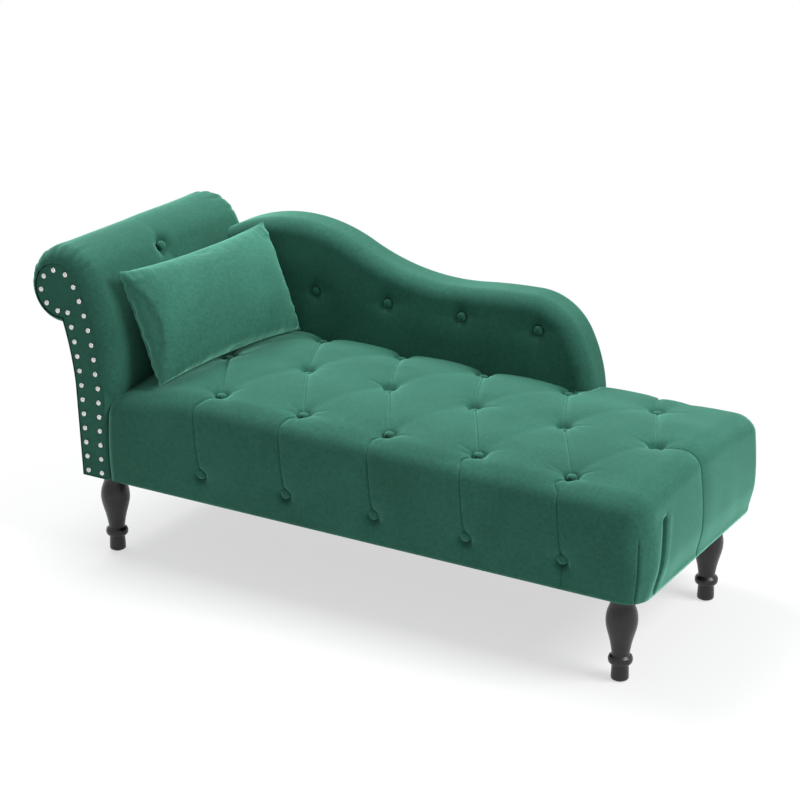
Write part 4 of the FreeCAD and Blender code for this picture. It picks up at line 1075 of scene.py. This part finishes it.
# %% Puckers, welt and lean
PILLOW_LEAN = ((-11.5, "Z"), (-23, "Y"), (2.7, "X"))
u, w = flat_pillow[:, 0] / (PILLOW[0] / 2), flat_pillow[:, 1] / (PILLOW[1] / 2)
from_ends = (1 - np.abs(u)) * PILLOW[0] / 2
from_sides = (1 - np.abs(w)) * PILLOW[1] / 2
face = np.sign(flat_pillow[:, 2])
pucker = np.zeros(len(p))
for gap, edge_run, seed, deep in ((from_ends, flat_pillow[:, 1], 5, 0.0085),
                                  (from_sides, flat_pillow[:, 0], 6, 0.0055)):
    wave = ripples(np.stack([edge_run, face * 0.4, edge_run * 0], axis=1), 0.022, seed)
    pucker += deep * wave * bell(gap - 0.016, 0.018, 2)
p[:, 2] -= face * pucker
from_seam = np.minimum(from_ends, from_sides)
p[:, 2] *= 1 - 0.42 * bell(from_seam - 0.0042, 0.0026)
on_seam = from_seam < 0.0012
p[:, :2] *= 1 + 0.012 * on_seam[:, None]
p[:, 2] -= face * 0.0016 * ripples(flat_pillow, 0.16, 9) * bell(np.abs(u), 0.9, 6)
p = p[:, [2, 0, 1]]
lean = Matrix.Identity(3)
for turn, axis in PILLOW_LEAN:
    lean = lean @ Matrix.Rotation(math.radians(turn), 3, axis)
write_points(pillow.data, p @ np.array(lean).T + np.array(PILLOW_CENTRE))
smooth = pillow.modifiers.new("smooth", "SUBSURF")
smooth.levels = smooth.render_levels = 1
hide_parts("pillow_cover", "pillow_filling")
dress(pillow, pillow_green, body="pillow")


# %% [markdown]
# ## Metal, cloth and timber of the carried-over pieces
#
# What stays from the frame gets a finish of its own: sawn timber inside, zinc on the bolts, black
# cloth under the seat, nickel on the nails.

# %% Other materials
def plain_material(name, dark, light, scale, rough, metallic=0.0, bump=0.0):
    mat, shader, where = new_material(name)
    set_sockets(shader, Metallic=metallic)
    stretch = add_node(mat, "Mapping", Scale=scale)
    noise = add_node(mat, "TexNoise", Scale=1, Detail=6)
    ramp = two_tone(mat, dark, light, 0.35, 0.7)
    spread = add_node(mat, "MapRange", To_Min=rough[0], To_Max=rough[1])
    wire(mat, (where, "Object", stretch, "Vector"), (stretch, "Vector", noise, "Vector"),
         (noise, "Fac", ramp, "Fac"), (ramp, "Color", shader, "Base Color"),
         (noise, "Fac", spread, "Value"), (spread, "Result", shader, "Roughness"))
    if bump:
        lift = add_node(mat, "Bump", Distance=bump, Strength=0.5)
        wire(mat, (noise, "Fac", lift, "Height"), (lift, "Normal", shader, "Normal"))
    return mat


nickel = plain_material("nickel", (0.58, 0.57, 0.55), (0.74, 0.73, 0.71), (90, 90, 90), (0.14, 0.30), 1.0)
timber = plain_material("timber", (0.42, 0.29, 0.17), (0.62, 0.46, 0.29), (4, 60, 60), (0.6, 0.8), bump=0.0004)
zinc = plain_material("zinc", (0.45, 0.46, 0.47), (0.62, 0.63, 0.64), (120, 120, 120), (0.3, 0.5), 1.0)
black_cloth = plain_material("black_cloth", (0.012, 0.012, 0.012), (0.03, 0.03, 0.03), (700, 700, 700),
                             (0.8, 0.95), bump=0.0003)
twine = plain_material("twine", (0.5, 0.43, 0.3), (0.72, 0.66, 0.5), (300, 300, 900), (0.7, 0.9))
glide = plain_material("glide_plastic", (0.02, 0.02, 0.02), (0.05, 0.05, 0.05), (60, 60, 60), (0.45, 0.6))
dress(nail_set, nickel)
slot_looks = {"frame_timber": timber, "plated_steel": zinc, "dust_cloth": black_cloth, "twine": twine,
              "glide_plastic": glide, "nickel": nickel, "dark_stain": dark_wood, "green_velvet": green,
              "pillow_velvet": pillow_green}
slots = {part["node"]: part["material_slot"] for part in frame["record"]["subparts"]}
for name, node in frame["nodes"].items():
    look = slot_looks.get(slots.get(name))
    if look:
        node.data.materials.clear()
        node.data.materials.append(look)
print("slots", sorted(set(slots.values())))


# %% [markdown]
# ## Studio
#
# The photograph shows a cut-out on white, lit softly from the foot end and above. White comes from
# what the eye sees of the floor and the world, and never from more light on the chaise. The floor
# keeps the shadow near the legs and turns to pure white further out.

# %% Floor and world
FLOOR_SIZE = 60
SKY_STRENGTH = 0.36


def seen_by_eye(owner):
    """1 for rays that the eye follows: straight, bounced off something shiny, or through something clear."""
    path = add_node(owner, "LightPath")
    total = path.outputs["Is Camera Ray"]
    for kind in ("Is Glossy Ray", "Is Transmission Ray"):
        either = add_node(owner, "Math")
        either.operation = "MAXIMUM"
        owner.node_tree.links.new(total, either.inputs[0])
        owner.node_tree.links.new(path.outputs[kind], either.inputs[1])
        total = either.outputs["Value"]
    return total


def studio_white():
    """Pure white to the camera away from the object, and a pale floor that keeps the shadow near it."""
    mat, shader, where = new_material("studio_white")
    set_sockets(shader, Base_Color=(0.8, 0.8, 0.8, 1), Roughness=0.9)
    glow = add_node(mat, "Emission")
    away = add_node(mat, "VectorMath")
    away.operation = "LENGTH"
    fade = add_node(mat, "MapRange", From_Min=0.75, From_Max=1.5, To_Min=0.62, To_Max=1.0)
    fade.interpolation_type = "SMOOTHSTEP"
    share_white = add_node(mat, "Math")
    share_white.operation = "MULTIPLY"
    blend = add_node(mat, "MixShader")
    mat.node_tree.links.new(seen_by_eye(mat), share_white.inputs[0])
    wire(mat, (where, "Object", away, 0), (away, "Value", fade, "Value"), (fade, "Result", share_white, 1),
         (share_white, "Value", blend, "Fac"), (shader, "BSDF", blend, 1), (glow, "Emission", blend, 2),
         (blend, "Shader", mat.node_tree.nodes["Material Output"], "Surface"))
    return mat


bpy.ops.mesh.primitive_plane_add(size=FLOOR_SIZE, location=(0, 0, 0))
ground = bpy.context.object
ground.name = "studio_floor"
ground.data.materials.append(studio_white())

world = bpy.data.worlds.new("studio")
bpy.context.scene.world = world
world.use_nodes = True
sky = world.node_tree.nodes["Background"]
set_sockets(sky, Color=(0.95, 0.97, 1.0, 1), Strength=SKY_STRENGTH)
backdrop = add_node(world, "Background")
sky_blend = add_node(world, "MixShader")
world.node_tree.links.new(seen_by_eye(world), sky_blend.inputs["Fac"])
wire(world, (sky, "Background", sky_blend, 1), (backdrop, "Background", sky_blend, 2),
     (sky_blend, "Shader", world.node_tree.nodes["World Output"], "Surface"))
print("floor", FLOOR_SIZE, "m, sky strength", SKY_STRENGTH)


# %% [markdown]
# Two large soft lamps light the velvet from the foot end and from above. The camera's place and lens
# come from lines and button pitches measured on the photograph, which is 800 pixels wide.

# %% Lights and camera
PHOTO_WIDTH = 800
FOCAL_PIXELS = 2194.39
SENSOR = 36
LOOKS_DOWN = 20.28
TURNED = 30.51


def soft_light(name, place, target, size, power):
    data = bpy.data.lights.new(name, "AREA")
    data.shape = "RECTANGLE"
    data.size, data.size_y = size
    data.energy = power
    lamp = bpy.data.objects.new(name, data)
    bpy.context.scene.collection.objects.link(lamp)
    lamp.location = place
    lamp.rotation_euler = (Vector(target) - Vector(place)).to_track_quat("-Z", "Y").to_euler()
    return lamp


soft_light("key", (3.6, 0.2, 3.4), (0, 0, 0.4), (2.2, 2.2), 202)
soft_light("top", (-1.3, 0.5, 3.2), (-0.3, 0, 0.5), (1.8, 1.8), 108)

camera_data = bpy.data.cameras.new("camera")
camera_data.sensor_width = SENSOR
camera_data.lens = FOCAL_PIXELS / PHOTO_WIDTH * SENSOR
camera = bpy.data.objects.new("camera", camera_data)
camera.location = (2.2846, -3.8379, 2.0362)
camera.rotation_euler = (math.radians(90 - LOOKS_DOWN), 0, math.radians(TURNED))
bpy.context.scene.collection.objects.link(camera)
bpy.context.scene.camera = camera
bpy.context.scene.view_settings.view_transform = "Standard"
print("lens", round(camera_data.lens, 2), "mm")
